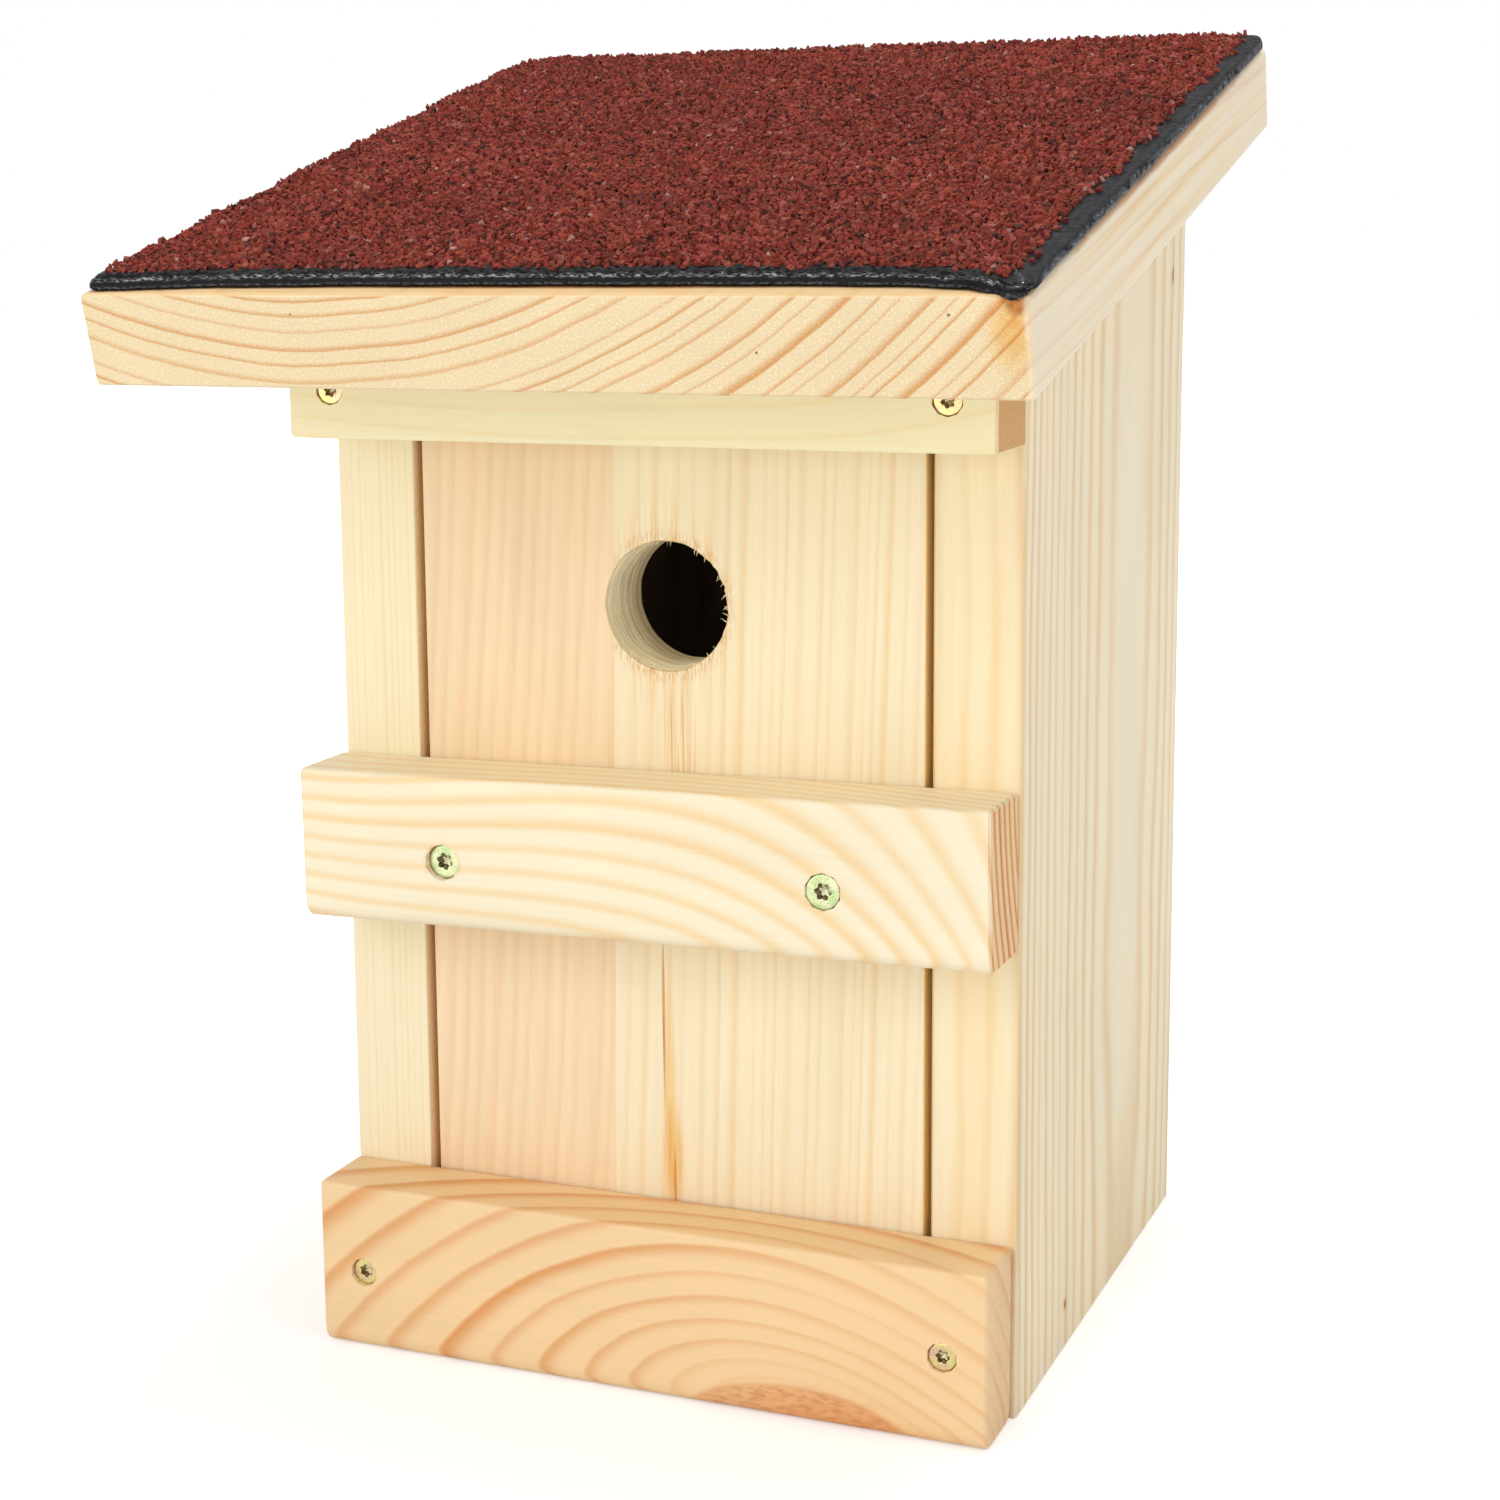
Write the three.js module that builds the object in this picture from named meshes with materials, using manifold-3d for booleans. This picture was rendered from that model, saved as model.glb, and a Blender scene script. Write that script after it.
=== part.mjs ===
import * as THREE from 'three';
import { mergeVertices } from 'three/addons/utils/BufferGeometryUtils.js';
import Module from 'manifold-3d';

// Wooden nest box for small hole-nesting birds. Lengths are in millimetres, +Z is up, the front faces -Y.
// Walls, floor, door and roof are cut from one planed board. Two battens are screwed across the front
// edges of the side panels, and a third one, screwed to the door, is its grip. The door stands on the
// floor between the side panels, and is lifted over the lower batten when the box is cleaned.

// Boards
const boardThickness = 22;
const boxWidth = 180;
const sideDepth = 163;
const sideFrontHeight = 269.4;
const roofPitchDegrees = 14;
const roofSideOverhang = 22;
const roofFrontOverhang = 72.3;
const arrisEase = 0.6;
const roofWear = { upper: 0.8, lower: 0.1 };

// Fits
const seatGap = 0.3;
const doorSideGap = 1.9;
const doorRecess = 0.4;
const doorClearAbove = 1.2;
const doorHeadroom = 0.8;
const cutOverrun = 2;

// Entrance hole, measured down from the upper front corners of the side panels
const holeDiameter = 32;
const holeDrop = 74.4;

// Battens. Each one is a little shorter than the box is wide, and lies a little to one side of its middle.
// The top batten has no height of its own: it reaches from the roof to a little below the door's top.
// Wear is how much further a long arris is rounded than a fresh one.
const topBar = { shortBy: 0.2, shift: 0.1, thickness: 23, doorOverlap: 9.7, upperWear: 0.1, lowerWear: 0.2 };
const bottomBar = { shortBy: 1.7, shift: -0.6, thickness: 21, height: 44, upperWear: 0.2, lowerWear: 3.3 };
const gripBar = { shortBy: 0.5, shift: -0.5, thickness: 23, height: 38.6, upperWear: 0.2, lowerWear: 3.3 };
const gripDrop = 60;
const gripTiltDegrees = 0.75;

// Countersunk screws with a six-lobed recess, and headed brads driven below the surface
const battenScrew = {
  headDiameter: 7, shankDiameter: 3.2, length: 45, rim: 0.5, tip: 5, recess: 3.3, recessDepth: 2,
};
const gripScrew = {
  headDiameter: 8.6, shankDiameter: 4, length: 40, rim: 0.6, tip: 5, recess: 3.9, recessDepth: 2.4,
};
const brad = { headDiameter: 2.2, shankDiameter: 1.6, length: 45, rim: 0.8, tip: 2, sink: 0.8 };
const boreClearance = 0.3;
const lobeShare = 0.16;

// Where the fasteners are, and how deep each screw is sunk
const topScrews = { insideMiddle: 0.6, belowMiddle: 1.8, sink: 0.4 };
const bottomScrews = {
  insideMiddle: 1.4, leftBelowMiddle: 1.2, rightBelowMiddle: -0.4, leftSink: 1, rightSink: 0.6,
};
const gripScrews = { leftInset: 15.3, rightInset: 17.4, belowMiddle: 2.3, leftSink: 1.4, rightSink: 0.4 };
const floorBrads = { fromFront: 45, fromBackPanel: 21, aboveMiddle: 1 };
const backBrads = { lowHeight: 60, fromTop: 35.6, aheadOfMiddle: 4 };
const roofBrads = { fromFront: 30, fromRear: 33 };

// Floor corners clipped for drainage, and the holes that the box is hung by
const floorCornerCut = 12;
const hangingHole = { diameter: 10, fromBottom: 70, fromTop: 34 };

// Roof covering: a bitumen sheet under a layer of mineral granules, with its front edge melted to a lip
const felt = {
  frontThickness: 2.7, rearThickness: 3.6, sideInset: 1.8, frontInset: 0.4, rearInset: 1, seedShare: 0,
};
const feltCorners = { frontRight: 3, frontLeft: 3, rearRight: 6, rearLeft: 11 };
const granules = { depth: 1.1, sideInset: 4.6, frontInset: 2.6, rearInset: 1.2, seedShare: 0.45 };
const edgeStray = 0.5;
const lip = {
  reach: 2.1, depth: 5.4, drop: 0.6, rise: 3.3, stray: 0.25, endInset: 2.6, endRound: 5, endRoundShare: 0.97,
  dropSeedShare: 0.2, reachSeedShare: 0.7,
};
const lipDrip = { fromEnd: 4, halfWidth: 3, drop: 1.2 };

// A melted or torn edge strays by a sum of waves. Counts are waves along the whole edge.
const strayWaves = [
  { count: 7, share: 0.4, turnShare: 0.1 },
  { count: 23, share: 0.35, turnShare: 0.6 },
  { count: 51, share: 0.25, turnShare: 0.35 },
];

// Mesh fineness
const holeSteps = 40;
const arrisSteps = 4;
const headSides = 20;
const bradSides = 8;
const boreSides = 10;
const recessSteps = 24;
const coveringSteps = 200;
const lipStations = 80;
const lipSides = 10;

const pitch = THREE.MathUtils.degToRad(roofPitchDegrees);
const gripTilt = THREE.MathUtils.degToRad(gripTiltDegrees);
const insideWidth = boxWidth - 2 * boardThickness;
const backDepth = sideDepth - boardThickness;
const backHeight = underRoof(backDepth);
const holeHeight = sideFrontHeight - holeDrop;
const gripHeight = holeHeight - gripDrop;
const doorWidth = insideWidth - 2 * doorSideGap;
const doorBottom = boardThickness + seatGap;
const doorLift = bottomBar.height + doorClearAbove - doorBottom;
const doorTop = underRoof(0) - doorHeadroom - doorLift;
const topBarBottom = doorTop - topBar.doorOverlap;
const topBarHeight = underRoof(-seatGap) - topBarBottom;
const topBarFrontHeight = topBarHeight - topBar.thickness * Math.tan(pitch);
const roofWidth = boxWidth + 2 * roofSideOverhang;
const roofLength = (sideDepth + roofFrontOverhang) / Math.cos(pitch);
const roofFront = -roofFrontOverhang / Math.cos(pitch);

const cream = wood('#ecd8ab');
const creamGrey = wood('#e2d2b0');
const creamOrange = wood('#efc999');
const creamPale = wood('#f4e3bd');
const zinc = new THREE.MeshStandardMaterial({ color: '#c6c29a', roughness: 0.35, metalness: 1 });
const bitumen = new THREE.MeshStandardMaterial({ color: '#17181a', roughness: 0.4, metalness: 0 });
const redMineral = new THREE.MeshStandardMaterial({ color: '#7a352b', roughness: 0.95, metalness: 0 });

const wasm = await Module();
wasm.setup();

const bores = new Map();

function wood(color) {
  return new THREE.MeshStandardMaterial({ color, roughness: 0.6, metalness: 0 });
}

// Height of what stands just under the roof board, at a depth behind the side panels' front edges
function underRoof(depth) {
  return sideFrontHeight + depth * Math.tan(pitch);
}

// Closed solids for cutting and joining
function solidFrom(geometry) {
  const bare = geometry.clone();
  bare.deleteAttribute('normal');
  bare.deleteAttribute('uv');
  const merged = mergeVertices(bare);
  const corners = merged.index.array;
  const triVerts = [];
  for (let i = 0; i < corners.length; i += 3) {
    const [a, b, c] = corners.slice(i, i + 3);
    if (a !== b && b !== c && c !== a) triVerts.push(a, b, c);
  }
  return new wasm.Manifold(new wasm.Mesh({
    numProp: 3,
    vertProperties: new Float32Array(merged.attributes.position.array),
    triVerts: new Uint32Array(triVerts),
  }));
}

function geometryFrom(solid) {
  const mesh = solid.getMesh();
  const geometry = new THREE.BufferGeometry();
  geometry.setAttribute('position', new THREE.BufferAttribute(new Float32Array(mesh.vertProperties), 3));
  geometry.setIndex(new THREE.BufferAttribute(new Uint32Array(mesh.triVerts), 1));
  geometry.computeVertexNormals();
  return geometry;
}

function outlineOf(points) {
  return new THREE.Shape(points.map(([x, y]) => new THREE.Vector2(x, y)));
}

// An outline whose corners are rounded by twice the fresh arris and by the wear of each
function wornOutline(points, wear) {
  const corners = points.map(([x, y]) => new THREE.Vector2(x, y));
  const shape = new THREE.Shape();
  corners.forEach((corner, i) => {
    const before = corners[(i + corners.length - 1) % corners.length];
    const after = corners[(i + 1) % corners.length];
    const start = before.clone().sub(corner).setLength(2 * arrisEase + wear[i]).add(corner);
    const end = after.clone().sub(corner).setLength(2 * arrisEase + wear[i]).add(corner);
    if (i === 0) shape.moveTo(start.x, start.y);
    else shape.lineTo(start.x, start.y);
    shape.quadraticCurveTo(corner.x, corner.y, end.x, end.y);
  });
  shape.closePath();
  return shape;
}

// A board sawn to an outline, with its near face at zero and its arrises eased
function board(shape, thickness, curveSegments = arrisSteps) {
  const geometry = new THREE.ExtrudeGeometry(shape, {
    depth: thickness - 2 * arrisEase,
    bevelThickness: arrisEase,
    bevelSize: arrisEase,
    bevelOffset: -arrisEase,
    bevelSegments: 1,
    curveSegments,
  });
  return geometry.translate(0, 0, arrisEase);
}

// For an outline drawn as depth and height: its thickness runs across the box, centred on the middle
function standAcross(geometry, width) {
  const turn = new THREE.Matrix4().makeBasis(
    new THREE.Vector3(0, 1, 0),
    new THREE.Vector3(0, 0, 1),
    new THREE.Vector3(1, 0, 0),
  );
  return geometry.applyMatrix4(turn).translate(-width / 2, 0, 0);
}

// For an outline drawn as width and height: its thickness runs backwards from the front face
function faceFront(geometry, thickness) {
  return geometry.rotateX(Math.PI / 2).translate(0, thickness, 0);
}

// Walls, floor and door
function sidePanelGeometry() {
  const outline = outlineOf([
    [0, 0],
    [sideDepth, 0],
    [sideDepth, underRoof(sideDepth)],
    [0, sideFrontHeight],
  ]);
  return standAcross(board(outline, boardThickness), boardThickness);
}

function hangingBore(height) {
  const radius = hangingHole.diameter / 2;
  const bore = new THREE.CylinderGeometry(radius, radius, boardThickness + 2 * cutOverrun, boreSides * 2);
  return solidFrom(bore.translate(0, boardThickness / 2, height));
}

function backPanelGeometry() {
  const width = insideWidth - 2 * seatGap;
  const slopeRise = boardThickness * Math.tan(pitch);
  const outline = outlineOf([
    [0, 0],
    [boardThickness, 0],
    [boardThickness, backHeight + slopeRise],
    [0, backHeight],
  ]);
  const panel = solidFrom(standAcross(board(outline, width), width));
  const drilled = panel
    .subtract(hangingBore(hangingHole.fromBottom))
    .subtract(hangingBore(backHeight - hangingHole.fromTop));
  return geometryFrom(drilled);
}

function floorGeometry() {
  const right = insideWidth / 2 - seatGap;
  const rear = backDepth - seatGap;
  const outline = outlineOf([
    [-right + floorCornerCut, 0],
    [right - floorCornerCut, 0],
    [right, floorCornerCut],
    [right, rear - floorCornerCut],
    [right - floorCornerCut, rear],
    [-right + floorCornerCut, rear],
    [-right, rear - floorCornerCut],
    [-right, floorCornerCut],
  ]);
  return board(outline, boardThickness);
}

function doorPanelGeometry() {
  const right = doorWidth / 2;
  const outline = outlineOf([[-right, doorBottom], [right, doorBottom], [right, doorTop], [-right, doorTop]]);
  const entrance = new THREE.Path();
  entrance.absarc(0, holeHeight, holeDiameter / 2, 0, 2 * Math.PI, true);
  outline.holes.push(entrance);
  return faceFront(board(outline, boardThickness, holeSteps / 2), boardThickness);
}

// A batten lies with its back face at zero depth and its lower edge at zero height
function battenGeometry(bar, rearHeight, frontHeight) {
  const outline = wornOutline(
    [[-bar.thickness, 0], [0, 0], [0, rearHeight], [-bar.thickness, frontHeight]],
    [bar.lowerWear, bar.lowerWear, bar.upperWear, bar.upperWear],
  );
  const length = boxWidth - bar.shortBy;
  return standAcross(board(outline, length), length);
}

function roofBoardGeometry() {
  const right = roofWidth / 2;
  const outline = wornOutline(
    [[-right, 0], [right, 0], [right, boardThickness], [-right, boardThickness]],
    [roofWear.lower, roofWear.lower, roofWear.upper, roofWear.upper],
  );
  return faceFront(board(outline, roofLength), roofLength);
}

// Roof covering, drawn on the roof board: x across, y up the slope from the board's front edge
function stray(turnShare, seedShare) {
  return strayWaves.reduce((sum, wave) => {
    const angle = 2 * Math.PI * (wave.count * turnShare + wave.turnShare + seedShare);
    return sum + wave.share * Math.sin(angle);
  }, 0);
}

// A rectangle with round corners whose edge strays in and out
function coveringOutline(inset, corners) {
  const right = roofWidth / 2 - inset.sideInset;
  const front = inset.frontInset;
  const rear = roofLength - inset.rearInset;
  const path = new THREE.Path();
  const { frontRight, rearRight, rearLeft, frontLeft } = corners;
  path.absarc(right - frontRight, front + frontRight, frontRight, -Math.PI / 2, 0);
  path.absarc(right - rearRight, rear - rearRight, rearRight, 0, Math.PI / 2);
  path.absarc(-right + rearLeft, rear - rearLeft, rearLeft, Math.PI / 2, Math.PI);
  path.absarc(-right + frontLeft, front + frontLeft, frontLeft, Math.PI, 1.5 * Math.PI);
  path.closePath();
  const even = path.getSpacedPoints(coveringSteps).slice(0, coveringSteps);
  return even.map((point, i) => {
    const before = even[(i + coveringSteps - 1) % coveringSteps];
    const after = even[(i + 1) % coveringSteps];
    const along = after.clone().sub(before).normalize();
    const inward = edgeStray * (1 + stray(i / coveringSteps, inset.seedShare)) / 2;
    return [point.x - along.y * inward, point.y + along.x * inward];
  });
}

function meshOf(points, index) {
  const geometry = new THREE.BufferGeometry();
  geometry.setAttribute('position', new THREE.Float32BufferAttribute(points.flat(), 3));
  geometry.setIndex(index);
  return geometry;
}

// A layer over an outline, fanned from the roof's middle, between two heights that change up the slope
function layer(outline, lowerAt, upperAt) {
  const middle = [0, roofLength / 2];
  const lower = [...outline, middle].map(([x, y]) => [x, y, lowerAt(y)]);
  const upper = [...outline, middle].map(([x, y]) => [x, y, upperAt(y)]);
  const count = outline.length;
  const index = [];
  for (let i = 0; i < count; i++) {
    const next = (i + 1) % count;
    const above = i + count + 1;
    const nextAbove = next + count + 1;
    index.push(i, next, nextAbove, i, nextAbove, above);
    index.push(count, next, i, 2 * count + 1, above, nextAbove);
  }
  return solidFrom(meshOf([...lower, ...upper], index));
}

function feltUnderside() {
  return seatGap;
}

function feltTop(up) {
  return seatGap + felt.frontThickness + (felt.rearThickness - felt.frontThickness) * up / roofLength;
}

function granuleUnderside(up) {
  return feltTop(up) + seatGap;
}

function granuleTop(up) {
  return granuleUnderside(up) + granules.depth;
}

// The lip is an oval bead along the front edge, thicker where the bitumen dripped
function lipRing(stationShare) {
  const end = roofWidth / 2 - lip.endInset;
  const x = -end + 2 * end * stationShare;
  const fromEnd = end - Math.abs(x);
  const shortfall = Math.max(0, 1 - fromEnd / lip.endRound) * lip.endRoundShare;
  const swell = Math.sqrt(1 - shortfall ** 2);
  const drip = lipDrip.drop * Math.exp(-(((end - lipDrip.fromEnd - x) / lipDrip.halfWidth) ** 2));
  const drop = lip.drop + drip + lip.stray * stray(stationShare, lip.dropSeedShare);
  const reach = lip.reach + lip.stray * stray(stationShare, lip.reachSeedShare);
  const middle = { out: lip.depth / 2 - reach, up: (lip.rise - drop) / 2 };
  const radius = { out: swell * lip.depth / 2, up: swell * (lip.rise + drop) / 2 };
  return Array.from({ length: lipSides }, (_, k) => {
    const turn = 2 * Math.PI * k / lipSides;
    return [x, middle.out + radius.out * Math.cos(turn), middle.up + radius.up * Math.sin(turn)];
  });
}

function lipSolid() {
  const rings = Array.from({ length: lipStations + 1 }, (_, i) => lipRing(i / lipStations));
  const index = [];
  for (let i = 0; i < lipStations; i++) {
    for (let k = 0; k < lipSides; k++) {
      const here = i * lipSides + k;
      const beside = i * lipSides + (k + 1) % lipSides;
      index.push(here, beside, beside + lipSides, here, beside + lipSides, here + lipSides);
    }
  }
  const last = lipStations * lipSides;
  for (let k = 1; k < lipSides - 1; k++) {
    index.push(0, k + 1, k, last, last + k, last + k + 1);
  }
  return solidFrom(meshOf(rings.flat(), index));
}

// The covering stays clear of the roof board below it and behind its lip
function feltGeometry() {
  const depth = seatGap + lip.depth + cutOverrun;
  const height = seatGap + lip.drop + lip.stray + lipDrip.drop + cutOverrun;
  const cut = new THREE.BoxGeometry(roofWidth + 2 * cutOverrun, depth, height);
  cut.translate(0, depth / 2 - seatGap, seatGap - height / 2);
  const sheet = layer(coveringOutline(felt, feltCorners), feltUnderside, feltTop);
  return geometryFrom(sheet.add(lipSolid().subtract(solidFrom(cut))));
}

function granuleGeometry() {
  return geometryFrom(layer(coveringOutline(granules, feltCorners), granuleUnderside, granuleTop));
}

// Fasteners stand with the face of the head at zero and point down
function fastenerProfile(kind, growth, raise) {
  const head = kind.headDiameter / 2 + growth;
  const shank = kind.shankDiameter / 2 + growth;
  const cone = kind.rim + (kind.headDiameter - kind.shankDiameter) / 2;
  return [
    [0, -kind.length - growth],
    [shank, kind.tip - kind.length - growth],
    [shank, -cone - growth],
    [head, -kind.rim - growth],
    [head, raise],
    [0, raise],
  ].map(([radius, height]) => new THREE.Vector2(radius, height));
}

function turned(profile, sides) {
  return new THREE.LatheGeometry(profile, sides).rotateX(Math.PI / 2);
}

function recessSolid(kind) {
  const corners = Array.from({ length: recessSteps }, (_, i) => {
    const turn = 2 * Math.PI * i / recessSteps;
    const reach = kind.recess / 2 * (1 + lobeShare * Math.cos(6 * turn)) / (1 + lobeShare);
    return [reach * Math.cos(turn), reach * Math.sin(turn)];
  });
  const depth = kind.recessDepth + cutOverrun;
  const geometry = new THREE.ExtrudeGeometry(outlineOf(corners), { depth, bevelEnabled: false });
  return solidFrom(geometry.translate(0, 0, -kind.recessDepth));
}

function fastenerGeometry(kind) {
  const sides = kind.recess ? headSides : bradSides;
  const body = solidFrom(turned(fastenerProfile(kind, 0, 0), sides));
  return geometryFrom(kind.recess ? body.subtract(recessSolid(kind)) : body);
}

function piece(name, geometry, material, parent) {
  const mesh = new THREE.Mesh(geometry, material);
  mesh.name = name;
  parent.add(mesh);
  return mesh;
}

// A fastener keeps the bore that it needs, which is open above its sunk head
function fastener(name, kind, sink, parent, x, y, z) {
  const mesh = piece(name, fastenerGeometry(kind), zinc, parent);
  mesh.position.set(x, y, z);
  const bore = turned(fastenerProfile(kind, boreClearance, sink + cutOverrun), boreSides);
  bores.set(mesh, geometryFrom(solidFrom(bore)));
  return mesh;
}

function frontScrew(name, kind, sink, parent, x, faceDepth, height) {
  const mesh = fastener(name, kind, sink, parent, x, faceDepth + sink, height);
  mesh.rotation.x = Math.PI / 2;
  return mesh;
}

function sideBrad(name, side, depth, height) {
  const mesh = fastener(name, brad, brad.sink, nestBox, side * (boxWidth / 2 - brad.sink), depth, height);
  mesh.rotation.y = side * Math.PI / 2;
  return mesh;
}

function roofBrad(name, x, up) {
  return fastener(name, brad, brad.sink, roof, x, up, boardThickness - brad.sink);
}

function drill(target, fasteners) {
  const toTarget = target.matrixWorld.clone().invert();
  const drilled = fasteners.reduce((solid, mesh) => {
    const place = toTarget.clone().multiply(mesh.matrixWorld);
    return solid.subtract(solidFrom(bores.get(mesh).clone().applyMatrix4(place)));
  }, solidFrom(target.geometry));
  target.geometry = geometryFrom(drilled);
}

// The fixed box
const nestBox = new THREE.Group();

const floor = piece('floor_panel', floorGeometry(), creamGrey, nestBox);
const back = piece('back_panel', backPanelGeometry(), creamGrey, nestBox);
back.position.y = backDepth;

const topBarShape = battenGeometry(topBar, topBarHeight, topBarFrontHeight);
const topBarMesh = piece('top_bar', topBarShape, creamPale, nestBox);
topBarMesh.position.set(topBar.shift, -seatGap, topBarBottom);
const bottomBarShape = battenGeometry(bottomBar, bottomBar.height, bottomBar.height);
const bottomBarMesh = piece('bottom_bar', bottomBarShape, creamOrange, nestBox);
bottomBarMesh.position.set(bottomBar.shift, -seatGap, 0);

// The roof board and its covering are drawn level and turned to the pitch of the roof together
const roof = new THREE.Group();
roof.rotation.x = pitch;
roof.position.z = sideFrontHeight + seatGap;
nestBox.add(roof);
const roofBoard = piece('roof_board', roofBoardGeometry(), creamGrey, roof);
roofBoard.position.y = roofFront;
for (const [name, geometry, material] of [
  ['roof_felt', feltGeometry(), bitumen],
  ['roof_granules', granuleGeometry(), redMineral],
]) {
  piece(name, geometry, material, roof).position.set(0, roofFront, boardThickness);
}

// The side panels with the fasteners that pass through them or end in them
const topBarFace = -seatGap - topBar.thickness;
const bottomBarFace = -seatGap - bottomBar.thickness;
const throughTopBar = [];
const throughBottomBar = [];
const throughRoof = [];
const intoFloor = [];
const intoBack = [];
for (const [sideName, side] of [['left', -1], ['right', 1]]) {
  const panel = piece(`${sideName}_side_panel`, sidePanelGeometry(), cream, nestBox);
  const panelMiddle = side * (boxWidth - boardThickness) / 2;
  panel.position.x = panelMiddle;

  const topX = panelMiddle - side * topScrews.insideMiddle;
  const topZ = topBarBottom + topBarFrontHeight / 2 - topScrews.belowMiddle;
  const topScrew = frontScrew(`top_bar_screw_${sideName}`, battenScrew, topScrews.sink, nestBox,
    topX, topBarFace, topZ);
  throughTopBar.push(topScrew);

  const bottomX = panelMiddle - side * bottomScrews.insideMiddle;
  const bottomZ = bottomBar.height / 2 - bottomScrews[`${sideName}BelowMiddle`];
  const bottomScrew = frontScrew(`bottom_bar_screw_${sideName}`, battenScrew, bottomScrews[`${sideName}Sink`],
    nestBox, bottomX, bottomBarFace, bottomZ);
  throughBottomBar.push(bottomScrew);

  const floorHeight = boardThickness / 2 + floorBrads.aboveMiddle;
  const floorPair = [
    sideBrad(`floor_brad_front_${sideName}`, side, floorBrads.fromFront, floorHeight),
    sideBrad(`floor_brad_rear_${sideName}`, side, backDepth - floorBrads.fromBackPanel, floorHeight),
  ];
  intoFloor.push(...floorPair);

  const backMiddle = backDepth + boardThickness / 2 - backBrads.aheadOfMiddle;
  const backPair = [
    sideBrad(`back_brad_low_${sideName}`, side, backMiddle, backBrads.lowHeight),
    sideBrad(`back_brad_high_${sideName}`, side, backMiddle, underRoof(backMiddle) - backBrads.fromTop),
  ];
  intoBack.push(...backPair);

  const rearBrad = (sideDepth - roofBrads.fromRear) / Math.cos(pitch);
  const roofPair = [
    roofBrad(`roof_brad_front_${sideName}`, panelMiddle, roofBrads.fromFront),
    roofBrad(`roof_brad_rear_${sideName}`, panelMiddle, rearBrad),
  ];
  throughRoof.push(...roofPair);

  nestBox.updateMatrixWorld(true);
  drill(panel, [topScrew, bottomScrew, ...floorPair, ...backPair, ...roofPair]);
}
drill(topBarMesh, throughTopBar);
drill(bottomBarMesh, throughBottomBar);
drill(roofBoard, throughRoof);
drill(floor, intoFloor);
drill(back, intoBack);

// The door with its grip, which slides up together
const door = new THREE.Group();
nestBox.add(door);
const doorPanel = piece('door_panel', doorPanelGeometry(), creamPale, door);
doorPanel.position.y = doorRecess;

const grip = new THREE.Group();
grip.position.set(gripBar.shift, -seatGap, gripHeight);
grip.rotation.y = -gripTilt;
door.add(grip);
const gripBarShape = battenGeometry(gripBar, gripBar.height, gripBar.height);
const gripBarMesh = piece('grip_bar', gripBarShape, creamPale, grip);
gripBarMesh.position.z = -gripBar.height / 2;
const gripScrewPair = [['left', -1], ['right', 1]].map(([sideName, side]) => {
  const x = side * (doorWidth / 2 - gripScrews[`${sideName}Inset`]) - gripBar.shift;
  return frontScrew(`grip_screw_${sideName}`, gripScrew, gripScrews[`${sideName}Sink`], grip,
    x, -gripBar.thickness, -gripScrews.belowMiddle);
});
nestBox.updateMatrixWorld(true);
drill(gripBarMesh, gripScrewPair);
drill(doorPanel, gripScrewPair);

// The origin lies under the middle of the whole box, on the surface that it stands on
const reach = new THREE.Box3().setFromObject(nestBox, true);
const middle = reach.getCenter(new THREE.Vector3());
nestBox.position.set(-middle.x, -middle.y, -reach.min.z);

export default nestBox;
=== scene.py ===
import math
import random

import bmesh
import bpy
import numpy as np
from mathutils import Matrix, Vector, noise


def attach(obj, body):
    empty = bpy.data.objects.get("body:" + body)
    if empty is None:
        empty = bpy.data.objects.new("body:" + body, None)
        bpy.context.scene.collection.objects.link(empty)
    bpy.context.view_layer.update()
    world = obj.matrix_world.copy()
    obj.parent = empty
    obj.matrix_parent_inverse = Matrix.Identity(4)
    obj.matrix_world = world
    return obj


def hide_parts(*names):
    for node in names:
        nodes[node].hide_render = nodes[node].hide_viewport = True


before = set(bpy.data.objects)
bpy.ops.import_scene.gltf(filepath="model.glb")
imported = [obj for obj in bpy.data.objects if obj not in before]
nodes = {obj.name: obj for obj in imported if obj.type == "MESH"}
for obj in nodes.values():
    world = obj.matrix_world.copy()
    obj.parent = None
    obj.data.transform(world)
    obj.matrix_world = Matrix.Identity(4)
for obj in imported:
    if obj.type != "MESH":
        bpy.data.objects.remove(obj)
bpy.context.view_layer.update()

# Wooden nest box: planed pine, a bitumen covering with red granules, zinc plated screws.
# The piece's sizes are in row mm, the stage's in metres. The front faces -Y.

mm = 0.001
scene = bpy.context.scene


def colour(hexCode):
    # linear colour from a hex code
    parts = [int(hexCode[i:i + 2], 16) / 255 for i in (1, 3, 5)]
    return (*[p / 12.92 if p <= 0.04045 else ((p + 0.055) / 1.055) ** 2.4 for p in parts], 1.0)


# Node wiring: a Wire is an output socket that can be added, multiplied and so on

def feed(tree, socket, value):
    # value: a wire, a plain value or a colour's hex code
    if isinstance(value, Wire):
        tree.links.new(value.socket, socket)
    else:
        isColour = isinstance(value, str) and value.startswith("#")
        socket.default_value = colour(value) if isColour else value


def put(tree, kind, inputs=None, out=0, **settings):
    # a new node, given back as the Wire of one output, or of every output when out is None
    node = tree.nodes.new(kind)
    for name, value in settings.items():
        setattr(node, name, value)
    for name, value in (inputs or {}).items():
        feed(tree, node.inputs[name], value)
    if out is None:
        return [Wire(tree, socket) for socket in node.outputs]
    return Wire(tree, node.outputs[out])


def combine(tree, x, y, z):
    return put(tree, "ShaderNodeCombineXYZ", {"X": x, "Y": y, "Z": z})


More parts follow.
